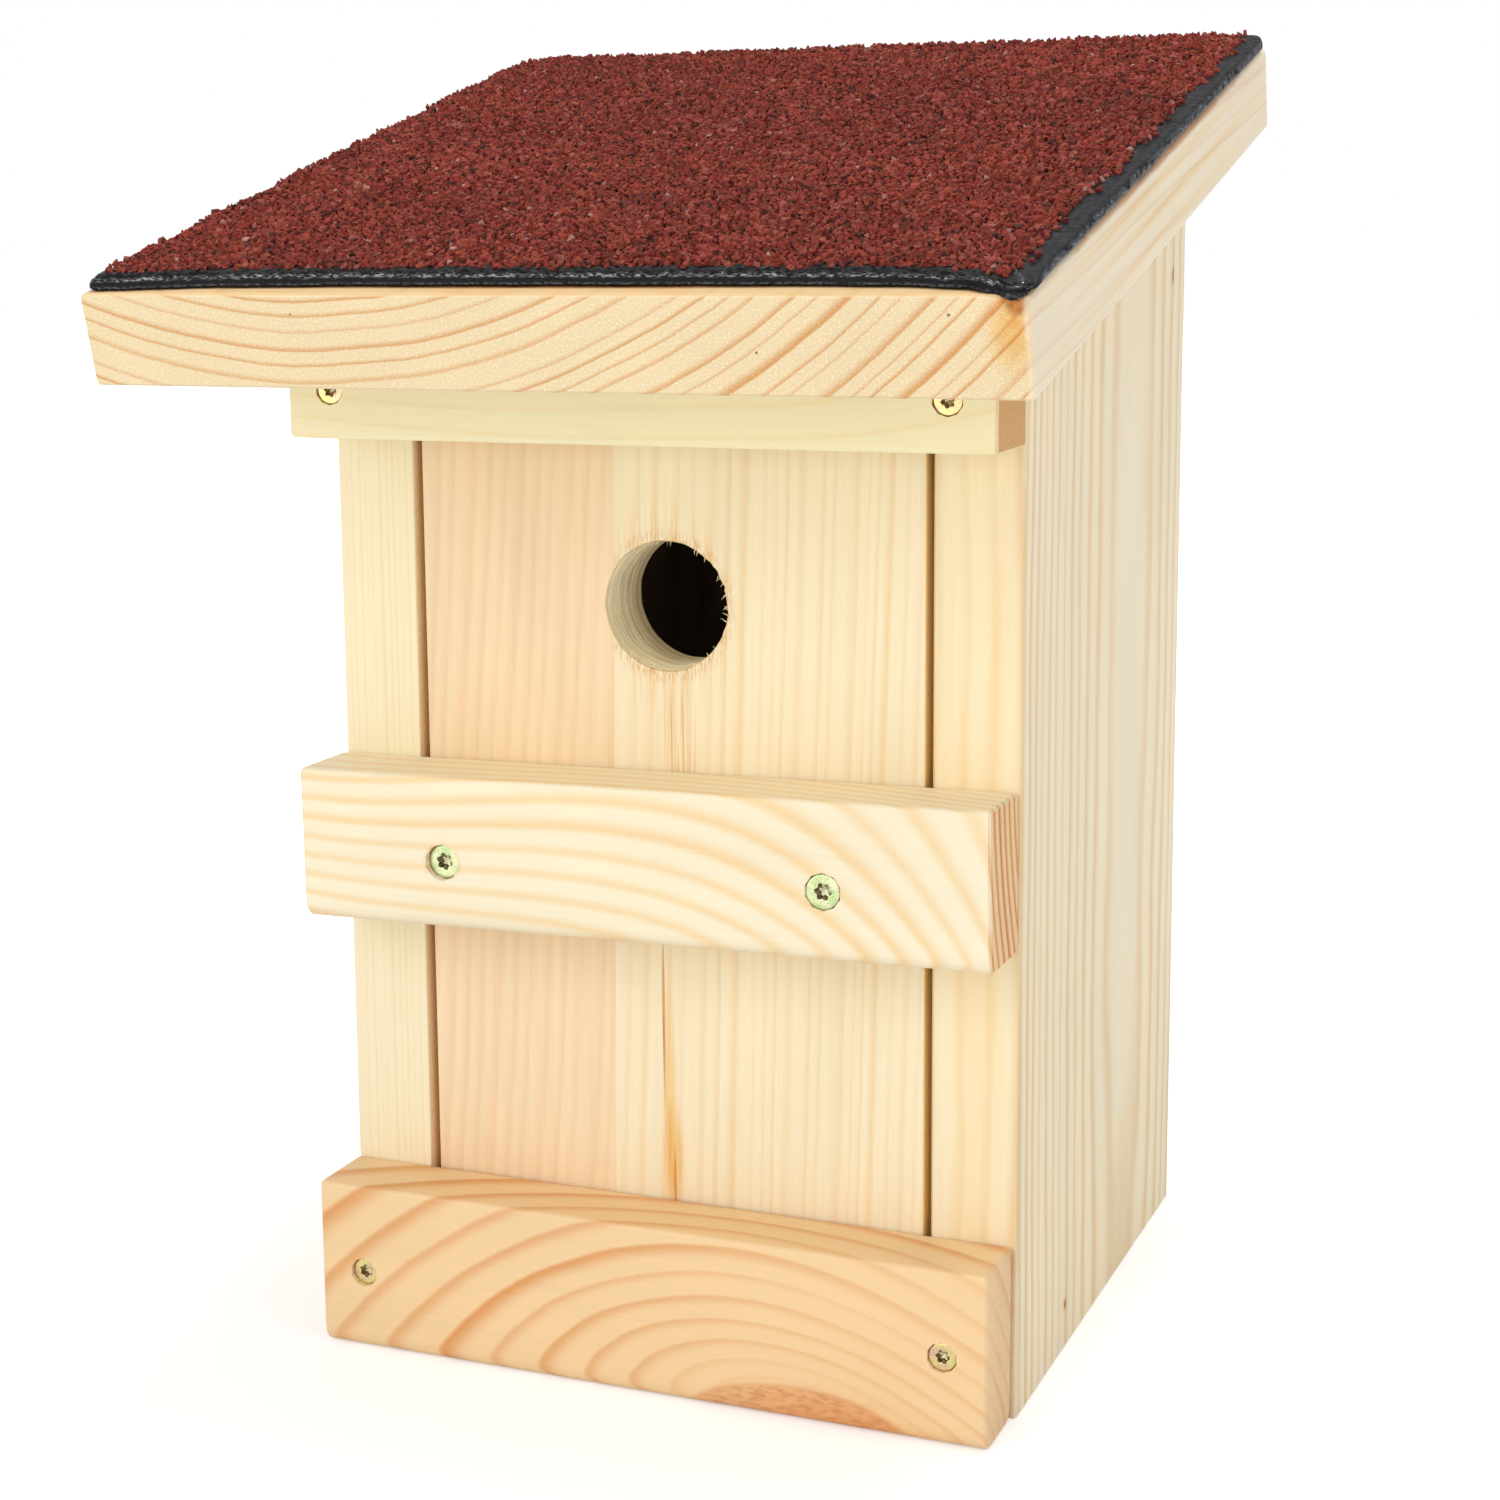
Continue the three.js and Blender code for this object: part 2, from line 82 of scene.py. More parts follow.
class Wire:
    def __init__(self, tree, socket):
        self.tree, self.socket = tree, socket

    def math(self, operation, *others):
        return put(self.tree, "ShaderNodeMath", dict(enumerate((self, *others))), operation=operation)

    def __add__(self, other):
        return self.math("ADD", other)

    def __sub__(self, other):
        return self.math("SUBTRACT", other)

    def __mul__(self, other):
        return self.math("MULTIPLY", other)

    def __truediv__(self, other):
        return self.math("DIVIDE", other)

    def ramp(self, start, end, low=0.0, high=1.0):
        # smooth step from low to high while the value goes from start to end
        inputs = {"Value": self, "From Min": start, "From Max": end, "To Min": low, "To Max": high}
        return put(self.tree, "ShaderNodeMapRange", inputs, interpolation_type="SMOOTHSTEP")

    def vector(self, operation, *others, out=0):
        inputs = dict(enumerate((self, *others)))
        return put(self.tree, "ShaderNodeVectorMath", inputs, out, operation=operation)

    def scaled(self, amount):
        return put(self.tree, "ShaderNodeVectorMath", {0: self, "Scale": amount}, operation="SCALE")

    def parts(self):
        return put(self.tree, "ShaderNodeSeparateXYZ", {"Vector": self}, out=None)

    def noise(self, scale=1.0, detail=2.0, roughness=0.5):
        inputs = {"Vector": self, "Scale": scale, "Detail": detail, "Roughness": roughness}
        return put(self.tree, "ShaderNodeTexNoise", inputs)

    def mix(self, first, second, mode="MIX"):
        # the wire is the second colour's share
        inputs = {0: self, 6: first, 7: second}
        return put(self.tree, "ShaderNodeMix", inputs, 2, data_type="RGBA", blend_type=mode)


def socketKind(default):
    if default is None:
        return "NodeSocketGeometry"
    if isinstance(default, tuple):
        return "NodeSocketVector" if len(default) == 3 else "NodeSocketColor"
    return "NodeSocketInt" if isinstance(default, int) else "NodeSocketFloat"


def newGroup(name, kind, inputs, outputs):
    # inputs: name -> default, none for geometry; outputs: name -> kind of socket
    tree = bpy.data.node_groups.new(name, kind)
    for label, default in inputs.items():
        socket = tree.interface.new_socket(label, in_out="INPUT", socket_type=socketKind(default))
        if default is not None:
            socket.default_value = default
    for label, output in outputs.items():
        tree.interface.new_socket(label, in_out="OUTPUT", socket_type=output)
    return tree, dict(zip(inputs, put(tree, "NodeGroupInput", out=None)))


def newMaterial(name):
    # the material, its tree and the place in row mm
    material = bpy.data.materials.new(name)
    material.use_nodes = True
    tree = material.node_tree
    return material, tree, put(tree, "ShaderNodeTexCoord", out="Object").scaled(1000.0)


def shade(tree, inputs, bump=None):
    # feeds the material's shader; bump: height, strength and depth in mm
    if bump:
        height, strength, depth = bump
        about = {"Height": height, "Strength": strength, "Distance": depth * mm}
        inputs["Normal"] = put(tree, "ShaderNodeBump", about)
    for label, value in inputs.items():
        feed(tree, tree.nodes["Principled BSDF"].inputs[label], value)


def painted(tree, label):
    # a value that a mesh carries
    return put(tree, "ShaderNodeAttribute", out="Fac", attribute_name=label)


origin = (0.0, 0.0, 0.0)

# Planed softwood. The grain runs along the pattern's z axis, in mm, and the growth rings lie round
# a pith line that may lean, bend and sweep (per 100 mm along the grain).

def makePlanedPine():
    tree, given = newGroup("planedPine", "ShaderNodeTree", {
        "Vector": origin, "Normal": (0.0, 0.0, 1.0), "Pith": origin, "Lean": origin, "Bend": origin,
        "Sweep": origin, "Tilt": origin, "Along": 0.0, "Ring width": 4.0, "Widening": 0.0, "Ring shift": 0.0,
        "Unevenness": 0.3, "Waviness": 0.4, "Band rise": 0.34, "Band fall": 0.12, "Evenness": 0.0,
        "Quiet": 0.0, "Contrast": 0.8, "Seed": 0.0, "Early": (1.0,) * 4, "Late": (1.0,) * 4, "Fibre": 0.05,
        "Flecks": 0.5, "Tone": 0.06, "End shade": (0.75, 0.6, 0.45, 1.0), "End rings": 1.35,
        "End late": (1.0,) * 4,
    }, {"Colour": "NodeSocketColor", "Roughness": "NodeSocketFloat", "Height": "NodeSocketFloat"})
    place, seed, waviness = given["Vector"], given["Seed"], given["Waviness"]
    seeded = place.vector("ADD", combine(tree, seed * 37.0, seed * 61.0, seed * 83.0))

    def grained(across, along, detail=2.0, roughness=0.5):
        # noise from -0.5 to 0.5, drawn out along the grain
        return seeded.vector("MULTIPLY", (across, across, along)).noise(1.0, detail, roughness) - 0.5

    # distance from the pith line
    x, y, z = place.parts()
    h = z * 0.01
    line = given["Pith"]
    for label, share in (("Lean", h), ("Bend", h * h), ("Sweep", h * h * h)):
        line = line.vector("ADD", given[label].scaled(share))
    lineX, lineY, lineZ = line.parts()
    far = combine(tree, x - lineX, y - lineY, (z - lineZ) * given["Along"]).vector("LENGTH", out=1)
    far = far + place.vector("DOT_PRODUCT", given["Tilt"], out=1)

    # slow, quick and fine wandering of the rings
    far = far + grained(0.03, 0.011, 1.0) * waviness * 2.4 + grained(0.16, 0.03) * waviness * 0.7
    far = far + grained(2.2, 0.12) * 0.28
    ring = far / given["Ring width"] / (far * given["Widening"] + 1.0) - given["Ring shift"]
    drift = put(tree, "ShaderNodeTexNoise", {"W": ring * 0.45 + seed * 11.0, "Scale": 1.0, "Detail": 0.0},
                noise_dimensions="1D") - 0.5
    ring = ring + drift * given["Unevenness"] * 2.0
    number = (ring + 0.5).math("FLOOR")
    phase = ring - number
    chance = put(tree, "ShaderNodeTexWhiteNoise", {"W": number * 1.37 + seed}, noise_dimensions="1D")
    rise = given["Band rise"] * (chance * 0.5 + 0.75)
    climb = phase.ramp(rise * -1.0, 0.02).math("POWER", 1.6)
    drop = phase.ramp(0.0, given["Band fall"], 1.0, 0.0)
    plainness = given["Evenness"] * -0.65 + 0.65
    late = climb * drop * (chance * plainness + plainness * -1.0 + 1.0)
    late = late * far.ramp(given["Quiet"] * 0.5 - 1.0, given["Quiet"] + 0.01, 0.25, 1.0)

    # end grain shows where the face looks along the grain
    endGrain = given["Normal"].parts()[2].math("ABSOLUTE").ramp(0.55, 0.9)
    along = endGrain * -1.0 + 1.0

    # fibres, resin canal flecks and broad patches
    fine, streak = grained(3.1, 0.07, 3.0, 0.6), grained(0.75, 0.016)
    canal = grained(4.6, 0.17, 0.0).ramp(0.21, 0.3) * (late * 0.6 + 0.4)
    patch, speckle = grained(0.045, 0.012), grained(2.4, 2.4)
    sparkle = grained(2.0, 2.0, 1.0).ramp(0.08, 0.18)

    lateShare = late * given["Contrast"] * (endGrain * (given["End rings"] - 1.0) + 1.0)
    base = (lateShare + canal * given["Flecks"] * 0.5 * along).mix(given["Early"], given["Late"])
    base = endGrain.mix(base, given["End shade"], "MULTIPLY")
    base = (endGrain * late).mix(base, given["End late"], "MULTIPLY")
    level = (fine * along + streak * along * 0.8) * given["Fibre"] * 2.0 + patch * given["Tone"] * 2.0
    level = level + speckle * endGrain * 0.3 + sparkle * endGrain * 0.2 + 0.97
    put(tree, "NodeGroupOutput", {
        "Colour": base.scaled(level),
        "Roughness": late * -0.08 + fine * 0.12 + endGrain * 0.2 + 0.56,
        "Height": late * 0.35 + fine * along * 0.55 + streak * 0.3 + speckle * endGrain * 0.9}, out=None)
    return tree


def makeWoodMark():
    # a soft spot with a ragged edge: Size holds its half widths, Grain how fine its edge is along each axis
    tree, given = newGroup("woodMark", "ShaderNodeTree", {
        "Vector": origin, "Centre": origin, "Size": (1.0, 1.0, 1.0), "Grain": (1.0, 1.0, 1.0),
        "Softness": 0.3, "Raggedness": 0.3}, {"Mask": "NodeSocketFloat", "Streaks": "NodeSocketFloat"})
    off = given["Vector"].vector("SUBTRACT", given["Centre"])
    rough = off.vector("MULTIPLY", given["Grain"]).noise(detail=3.0, roughness=0.6)
    far = off.vector("DIVIDE", given["Size"]).vector("LENGTH", out=1)
    far = far + (rough - 0.5) * given["Raggedness"] * 2.0
    put(tree, "NodeGroupOutput", {"Mask": far.ramp(given["Softness"] * -1.0 + 1.0, 1.0, 1.0, 0.0),
                                  "Streaks": rough.ramp(0.44, 0.66)}, out=None)
    return tree


planedPine, woodMark = makePlanedPine(), makeWoodMark()

# Turns row directions into the pattern's, with the grain along its z axis
grainTurns = {"up": (0.0, 0.0, 0.0), "across": (0.0, math.radians(-90), 0.0),
              "slope": (math.radians(76), 0.0, 0.0), "depth": (math.radians(90), 0.0, 0.0)}


def pineMaterial(name, wood):
    material, tree, rowPlace = newMaterial(name)
    turn = grainTurns[wood["grain"]]
    middle = Matrix.Rotation(turn[0], 3, "X") @ Matrix.Rotation(turn[1], 3, "Y") @ Vector(wood["middle"])
    place = put(tree, "ShaderNodeMapping", {"Vector": rowPlace, "Rotation": turn, "Location": tuple(-middle)})
    facing = put(tree, "ShaderNodeTexCoord", out="Normal")
    facing = put(tree, "ShaderNodeMapping", {"Vector": facing, "Rotation": turn}, vector_type="VECTOR")
    inputs = {"Vector": place, "Normal": facing, **wood["rings"]}
    shown, roughness, height = put(tree, "ShaderNodeGroup", inputs, None, node_tree=planedPine)
    for about in wood.get("marks", []):
        inputs = {"Vector": place if about["alongGrain"] else rowPlace, **about["spot"]}
        mask, streaks = put(tree, "ShaderNodeGroup", inputs, None, node_tree=woodMark)
        shown = (mask * about["strength"]).mix(shown, streaks.mix(*about["tints"]), about["mode"])
    shade(tree, {"Base Color": shown, "Roughness": roughness, "Specular IOR Level": 0.35},
          (height, 0.35, 0.1))
    return material


def mark(centre, size, grain, edge, tints, strength, mode="MULTIPLY"):
    # edge: softness and raggedness. With alongGrain the place is in the wood's directions, from its middle.
    spot = {"Centre": centre, "Size": size, "Grain": grain, "Softness": edge[0], "Raggedness": edge[1]}
    return {"spot": spot, "tints": tints, "strength": strength, "mode": mode, "alongGrain": False}


def inGrain(*about):
    return dict(mark(*about), alongGrain=True)


def gapPaintedLight(x, y, z, wide, tints, strength):
    # painted light: lightens a face beside the door, where little light gets in
    return mark((x, y, z), (wide, 40, 400), (1, 1, 1), (0.4, 0.0), tints, strength, "MIX")


def pinMark(x, y, z, wide, strength):
    return mark((x, y, z), (wide, 9, wide - 0.05), (1, 1, 1), (0.3, 0.3), ("#7a5236", "#5c3a24"), strength)


# middle: the row point that the ring values are measured from
gripWood = {"grain": "across", "middle": (0, -64.7, 135), "rings": {
    "Pith": (-98, 126, 0), "Lean": (49, 30, 0), "Bend": (21, -20.7, 0), "Sweep": (13, -5, 0),
    "Ring width": 4.1, "Ring shift": 35.7, "Unevenness": 0.0, "Waviness": 0.25, "Band rise": 0.5,
    "Band fall": 0.3, "Evenness": 0.6, "Early": "#f7ebcc", "Late": "#f3d096", "Contrast": 0.82,
    "Fibre": 0.035, "Seed": 3.0, "End shade": "#fbe2ca", "End late": "#d8a680"}, "marks": [
    mark((-50.8, -65, 132), (5.6, 6, 5), (0.5, 0.5, 1.6), (0.25, 0.25), ("#f2cf9c", "#e0a868"), 0.55)]}
footWood = {"grain": "across", "middle": (0, -62.7, 0), "rings": {
    "Pith": (-1.9, 0, 48.5), "Lean": (-4.5, 0, 0), "Bend": (25.8, 0, 0), "Along": 0.383, "Tilt": (0, 0.8, 0),
    "Ring width": 2.61, "Widening": 0.015, "Ring shift": 5.74, "Unevenness": 0.0, "Waviness": 0.9,
    "Band rise": 0.5, "Band fall": 0.15, "Evenness": 0.3, "Quiet": 24.0, "Early": "#f5d2a1",
    "Late": "#df9856", "Contrast": 0.92, "Fibre": 0.045, "Seed": 5.0, "End shade": "#f8f7ff",
    "End rings": 0.5}, "marks": [
    mark((72, -62.7, 26), (112, 14, 60), (0.02, 0.02, 0.03), (0.95, 0.1), ("#f6d3a2", "#f4cf9c"), 0.62,
         "MIX"),
    mark((54, -62.7, -3), (38, 26, 15.5), (0.1, 0.1, 0.2), (0.7, 0.12), ("#fff0e0", "#f8d6b4"), 0.9),
    mark((41, -62.7, -5.2), (33, 30, 15.2), (0.25, 0.3, 0.9), (0.1, 0.05), ("#f3dccb", "#e0b9a2"), 0.95)]}
topWood = {"grain": "across", "middle": (0, -64.7, 250), "rings": {
    "Pith": (-60, 90, 0), "Lean": (25, 20, 0), "Ring width": 3.6, "Waviness": 1.2, "Evenness": 0.4,
    "Early": "#fff6cc", "Late": "#fae3a2", "Contrast": 0.55, "Fibre": 0.03, "Seed": 8.0,
    "End shade": "#d6ae8c"}}
sideWood = {"grain": "up", "middle": (0, -41.4, 190), "rings": {
    "Pith": (4, 103, 0), "Bend": (-0.4, 0, 0), "Ring width": 4.1, "Ring shift": -0.4, "Unevenness": 0.0,
    "Waviness": 1.4, "Band rise": 0.5, "Band fall": 0.25, "Evenness": 0.2, "Early": "#f6e8c9",
    "Late": "#e0b672", "Contrast": 0.85, "Fibre": 0.03, "Seed": 6.0, "End shade": "#e6cba8"}, "marks": [
    mark((79, -42, 150), (16, 2.4, 260), (0.3, 0.3, 0.01), (0.6, 0.1), ("#f8e6bc", "#f6dfae"), 0.7, "MIX"),
    mark((90, 3.6, 12), (2, 3.4, 3), (0.5, 1.4, 0.5), (0.5, 0.3), ("#fdf2de", "#c79a68"), 0.85),
    mark((90, 106.6, 270.7), (2, 0.8, 4.2), (0.5, 0.9, 0.12), (0.5, 0.2), ("#e0b884", "#ab7c4e"), 0.9),
    mark((90, 105.2, 270), (2, 1.6, 3), (0.5, 0.9, 0.3), (0.6, 0.3), ("#f3e2c0", "#e8cfa0"), 0.8),
    gapPaintedLight(67.8, -25, 150, 0.7, ("#ffe3a8", "#ffd994"), 0.95)]}
leftSideWood = {"grain": "up", "middle": (0, -41.4, 150), "rings": {
    "Pith": (-260, 40, 0), "Ring width": 1.9, "Unevenness": 0.35, "Waviness": 0.4, "Early": "#f6e8c4",
    "Late": "#edd5a2", "Contrast": 0.6, "Fibre": 0.02, "Seed": 14.0, "End shade": "#e6cba8"}, "marks": [
    gapPaintedLight(-67.8, -25, 150, 0.7, ("#fadcae", "#f6cc96"), 0.9)]}
leftStave = {"grain": "up", "middle": (-40, -41, 130), "rings": {
    "Pith": (-118, 42, 0), "Lean": (7, 0, 0), "Ring width": 4.3, "Unevenness": 0.5, "Waviness": 1.0,
    "Evenness": 0.1, "Band rise": 0.6, "Band fall": 0.3, "Early": "#f4dab3", "Late": "#eabf8c",
    "Contrast": 0.45, "Fibre": 0.06, "Tone": 0.08, "Seed": 23.0, "End shade": "#e6cba8"}, "marks": [
    gapPaintedLight(-66.4, -30, 134, 0.75, ("#f8d4a6", "#f2c48e"), 0.9)]}
rightStave = {"grain": "up", "middle": (0, -41, 130), "rings": {
    "Pith": (-45, 60, 0), "Lean": (3, 0, 0), "Ring width": 3.0, "Unevenness": 0.5, "Waviness": 0.6,
    "Band rise": 0.5, "Band fall": 0.25, "Early": "#f6e7c4", "Late": "#ebc88e", "Contrast": 0.58,
    "Fibre": 0.05, "Seed": 21.0, "End shade": "#e6cba8"}, "marks": [
    # resin along the middle, then the smudges over and round the hole
    mark((-0.4, -41, 70), (2.5, 6, 42), (0.9, 0.2, 0.02), (0.85, 0.25), ("#fce9c6", "#f4d29c"), 1.0),
    mark((-1.9, -41, 92), (0.5, 6, 28), (1.2, 0.2, 0.05), (0.6, 0.4), ("#d8ac78", "#b98450"), 0.9),
    mark((0.6, -41, 54), (4, 6, 20), (0.9, 0.2, 0.03), (0.8, 0.25), ("#fbe6c0", "#f0ca92"), 1.0),
    mark((0.8, -41, 48), (0.5, 6, 13), (1.2, 0.2, 0.05), (0.6, 0.4), ("#dcb482", "#c49462"), 0.7),
    mark((3, -41, 160), (7.5, 6, 24), (1.3, 0.2, 0.02), (0.7, 0.2), ("#ffffff", "#eccb9c"), 1.0),
    mark((0, -41, 196), (24, 6, 34), (1.1, 0.2, 0.03), (0.6, 0.2), ("#ffffff", "#f6e3c6"), 1.0),
    mark((0, -41, 195), (19.5, 6, 20.5), (2, 0.5, 0.35), (0.14, 0.1), ("#ffffff", "#dcbb8c"), 0.75),
    gapPaintedLight(66.4, -30, 134, 0.75, ("#ffe3a8", "#ffd994"), 0.95)]}
# the back panel's inner face is painted plain and dark: painted shade inside the box
backWoodPaintedShade = dict(sideWood, marks=[
    mark((0, 99.6, 170), (120, 3, 400), (0.2, 0.2, 0.02), (0.5, 0.1), ("#a48c70", "#988064"), 1.0, "MIX")])
# the bore's wall is coloured lighter than the door's wood: painted light where little light reaches into the
# hole
boreWoodPaintedLight = {"grain": "depth", "middle": (0, -41, 195), "rings": {
    "Along": 12.0, "Ring width": 15.0, "Unevenness": 0.4, "Waviness": 0.6, "Band rise": 0.45,
    "Band fall": 0.3, "Early": "#fff4d2", "Late": "#cdab78", "Fibre": 0.06, "Seed": 27.0,
    "End shade": "#f2e4c6"}}
tornWood = {"grain": "up", "middle": (0, -41, 195), "rings": {
    "Ring width": 5.0, "Early": "#f3e2b8", "Late": "#e8cc98", "Contrast": 0.3, "Seed": 29.0}}
roofWood = {"grain": "slope", "middle": (-54, -41.4, 269.7), "rings": {
    "Pith": (0, -164, 0), "Lean": (0, 4, 0), "Ring width": 3.95, "Unevenness": 0.6, "Waviness": 0.7,
    "Band rise": 0.36, "Band fall": 0.1, "Early": "#f0debb", "Late": "#d9a369", "Fibre": 0.03, "Seed": 4.0,
    "End shade": "#fdf8ee"}, "marks": [
    inGrain((162, -14.8, -74.5), (7.5, 13, 1.6), (0.3, 0.3, 0.3), (0.9, 0.15), ("#fadfa2", "#f2c078"), 0.9),
    inGrain((163.2, -20.6, -74.5), (3.8, 3.8, 1.8), (0.5, 0.5, 0.5), (0.6, 0.25), ("#cf9a68", "#a06a3e"),
            0.9),
    # the roof board's right side face is lightened: painted light
    mark((112, 0, 292), (3, 190, 90), (0.02, 0.01, 0.05), (0.3, 0.3), ("#faeed8", "#f7e9d0"), 0.5, "MIX"),
    # the strip of the board's top under the bead: ring lines evened out, and darkened as painted shade, since
    # more light falls on this face than on the front
    inGrain((54, -22.6, -70), (600, 1.5, 9), (0.05, 0.3, 0.3), (0.3, 0.05), ("#e4c08a", "#dfb67c"), 0.85,
            "MIX"),
    # a thin brown line just under the bead: painted shadow and bitumen seep
    inGrain((54, -22.2, -69.2), (84, 1.5, 1.3), (0.12, 0.6, 0.8), (0.7, 0.35), ("#dca066", "#a8703c"), 0.8),
    # a brown line along the right edge, under the sheet: painted shadow and bitumen stain
    inGrain((166, -22, 44), (2, 2.3, 134), (0.5, 0.5, 0.09), (0.6, 0.35), ("#d09a60", "#8a5a30"), 0.85),
    # bands along the right side, then pin marks in the front edge
    *[inGrain((166, y, z), (2.5, wide, 150), (0.1, 0.3, 0.012), (0.95, 0.45), tints, strength)
      for y, z, wide, tints, strength in ((-17.2, 30, 2.4, ("#fdf2d8", "#f6dcaa"), 0.8),
                                          (-10.6, 60, 2.2, ("#fbecca", "#f4d6a0"), 0.8),
                                          (-4.2, 40, 2.0, ("#fdf2d8", "#f6dcaa"), 0.7))],
    pinMark(95, -116, 269, 0.45, 0.8), pinMark(53, -114, 261, 0.4, 0.8),
    pinMark(-57, -115, 268.5, 0.35, 0.7)]}

# Shapes

def addObject(name, data):
    made = bpy.data.objects.new(name, data)
    scene.collection.objects.link(made)
    return made


def meshPiece(name, points, faces, material=None):
    # points in row mm; faces end up pointing outward
    mesh = bpy.data.meshes.new(name)
    mesh.from_pydata([tuple(p) for p in np.asarray(points) * mm], [], faces)
    mesh.validate()
    shape = bmesh.new()
    shape.from_mesh(mesh)
    bmesh.ops.recalc_face_normals(shape, faces=shape.faces)
    shape.to_mesh(mesh)
    shape.free()
    mesh.shade_smooth()
    if material:
        mesh.materials.append(material)
    return addObject(name, mesh)


def paintMesh(piece, **values):
    # a named value, or a vector, for every point
    for name, numbers in values.items():
        numbers = np.asarray(numbers, np.float32)
        isVector = numbers.size == 3 * len(piece.data.vertices)
        attribute = piece.data.attributes.new(name, "FLOAT_VECTOR" if isVector else "FLOAT", "POINT")
        attribute.data.foreach_set("vector" if isVector else "value", numbers.ravel())


def modifiedMesh(piece, name):
    # what the piece's modifiers make, as a plain mesh
    bpy.context.view_layer.update()
    mesh = bpy.data.meshes.new_from_object(piece.evaluated_get(bpy.context.evaluated_depsgraph_get()))
    mesh.name = name
    return mesh


def runNodes(carrier, group, values, name):
    # the group's result in a new object, without its carrier
    modifier = carrier.modifiers.new(group.name, "NODES")
    modifier.node_group = group
    for item in group.interface.items_tree:
        if item.in_out == "INPUT" and item.name in values:
            modifier[item.identifier] = values[item.name]
    made = addObject(name, modifiedMesh(carrier, name))
    bpy.data.objects.remove(carrier)
    return made


def dress(piece, body, slotName, *nodeNames):
    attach(piece, body)
    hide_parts(*nodeNames)
    print(piece.name, len(piece.data.polygons), "faces")


def loftFaces(ringCount, sides, joinLast=False):
    # quads between rings of equal length; the last ring joins the first one, or both ends get a cap
    faces = []
    for i in range(ringCount if joinLast else ringCount - 1):
        below, above = i * sides, (i + 1) % ringCount * sides
        for k in range(sides):
            n = (k + 1) % sides
            faces.append((below + k, below + n, above + n, above + k))
    if not joinLast:
        faces.append(tuple(range(sides))[::-1])
        faces.append(tuple((ringCount - 1) * sides + k for k in range(sides)))
    return faces


def wander(x, y, z, seed):
    # smooth noise from -1 to 1
    return noise.noise(Vector((x + seed * 17.3, y + seed * 5.1, z - seed * 9.7)))


def clipped(value):
    return min(1.0, max(0.0, value))


def bell(value):
    return math.exp(-value ** 2)


def eased(share):
    return share * share * (3 - 2 * share)


def evenly(points, step):
    # a closed outline with a point at every step
    points = np.asarray(points, float)
    loop = np.vstack([points, points[:1]])
    lengths = np.concatenate([[0], np.cumsum(np.linalg.norm(np.diff(loop, axis=0), axis=1))])
    count = max(8, int(round(lengths[-1] / step)))
    at = np.arange(count) * lengths[-1] / count
    return np.stack([np.interp(at, lengths, loop[:, k]) for k in range(loop.shape[1])], 1)


def outwards(points):
    # normals of a closed outline that runs counterclockwise
    along = np.roll(points, -1, 0) - np.roll(points, 1, 0)
    along /= np.linalg.norm(along, axis=1)[:, None]
    return np.stack([along[:, 1], -along[:, 0]], 1)


def roundedRectangle(low, high, radii, steps):
    # an outline with arcs for corners, counterclockwise from the corner at high x and low y
    points = []
    for i, (right, top) in enumerate(((True, False), (True, True), (False, True), (False, False))):
        x = high[0] - radii[i] if right else low[0] + radii[i]
        y = high[1] - radii[i] if top else low[1] + radii[i]
        for k in range(steps + 1):
            angle = math.radians(90 * (i - 1 + k / steps))
            points.append((x + radii[i] * math.cos(angle), y + radii[i] * math.sin(angle)))
    return points


# Boards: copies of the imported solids, with their arrises eased and the wood closed over the brads

boardLook = {"arris": 0.45, "segments": 3, "sharpFrom": 48, "longestBore": 60.0, "mouth": 2.5}
# y, z of a brad's mouth, and how wide and tall it stays
bradMouths = {"right_side_panel": (90, [(3.6, 12, 0.5, 0.9), (78.6, 12, 0.06, 0.3), (106.6, 60, 0.06, 0.3),
                                        (106.6, 270.7, 0.4, 1.35)]),
              "left_side_panel": (-90, [(3.6, 12, 0.3, 1.1), (78.6, 12, 0.2, 0.9), (106.6, 60, 0.25, 1.0),
                                        (106.6, 270.7, 0.35, 1.2)])}


def outlineEdges(shape):
    # the sharp edges that aren't the mouths of bores: joined groups of them that are long enough
    sharp = {e for e in shape.edges
             if len(e.link_faces) == 2 and e.calc_face_angle(0) > math.radians(boardLook["sharpFrom"])}
    chosen = []
    while sharp:
        group, reach = [], [sharp.pop()]
        while reach:
            edge = reach.pop()
            group.append(edge)
            near = {other for vertex in edge.verts for other in vertex.link_edges if other in sharp}
            sharp -= near
            reach.extend(near)
        if sum(edge.calc_length() for edge in group) > boardLook["longestBore"] * mm:
            chosen += group
    return chosen


def easedBoard(nodeName, material):
    shape = bmesh.new()
    shape.from_mesh(nodes[nodeName].data)
    bmesh.ops.remove_doubles(shape, verts=shape.verts, dist=0.01 * mm)
    bmesh.ops.dissolve_limit(shape, angle_limit=math.radians(0.5), verts=shape.verts, edges=shape.edges)
    side, mouths = bradMouths.get(nodeName, (0, []))
    for y, z, wide, tall in mouths:
        for vertex in shape.verts:
            offY, offZ = vertex.co.y - y * mm, vertex.co.z - z * mm
            if abs(vertex.co.x - side * mm) < 0.05 * mm and math.hypot(offY, offZ) < boardLook["mouth"] * mm:
                vertex.co.y = y * mm + offY * wide
                vertex.co.z = z * mm + offZ * tall
    bmesh.ops.bevel(shape, geom=outlineEdges(shape), offset=boardLook["arris"] * mm, offset_type="OFFSET",
                    segments=boardLook["segments"], profile=0.5, affect="EDGES", clamp_overlap=False)
    mesh = bpy.data.meshes.new(nodeName + "_eased")
    shape.to_mesh(mesh)
    shape.free()
    mesh.shade_smooth()
    mesh.set_sharp_from_angle(angle=math.radians(40))
    mesh.materials.append(material)
    return finishBoard(addObject(mesh.name, mesh))


def finishBoard(piece):
    # even shading over flat faces, kept in a plain mesh
    normals = piece.modifiers.new("evenShading", "WEIGHTED_NORMAL")
    normals.keep_sharp = True
    mesh = modifiedMesh(piece, piece.name)
    piece.modifiers.remove(normals)
    piece.data = mesh
    return piece


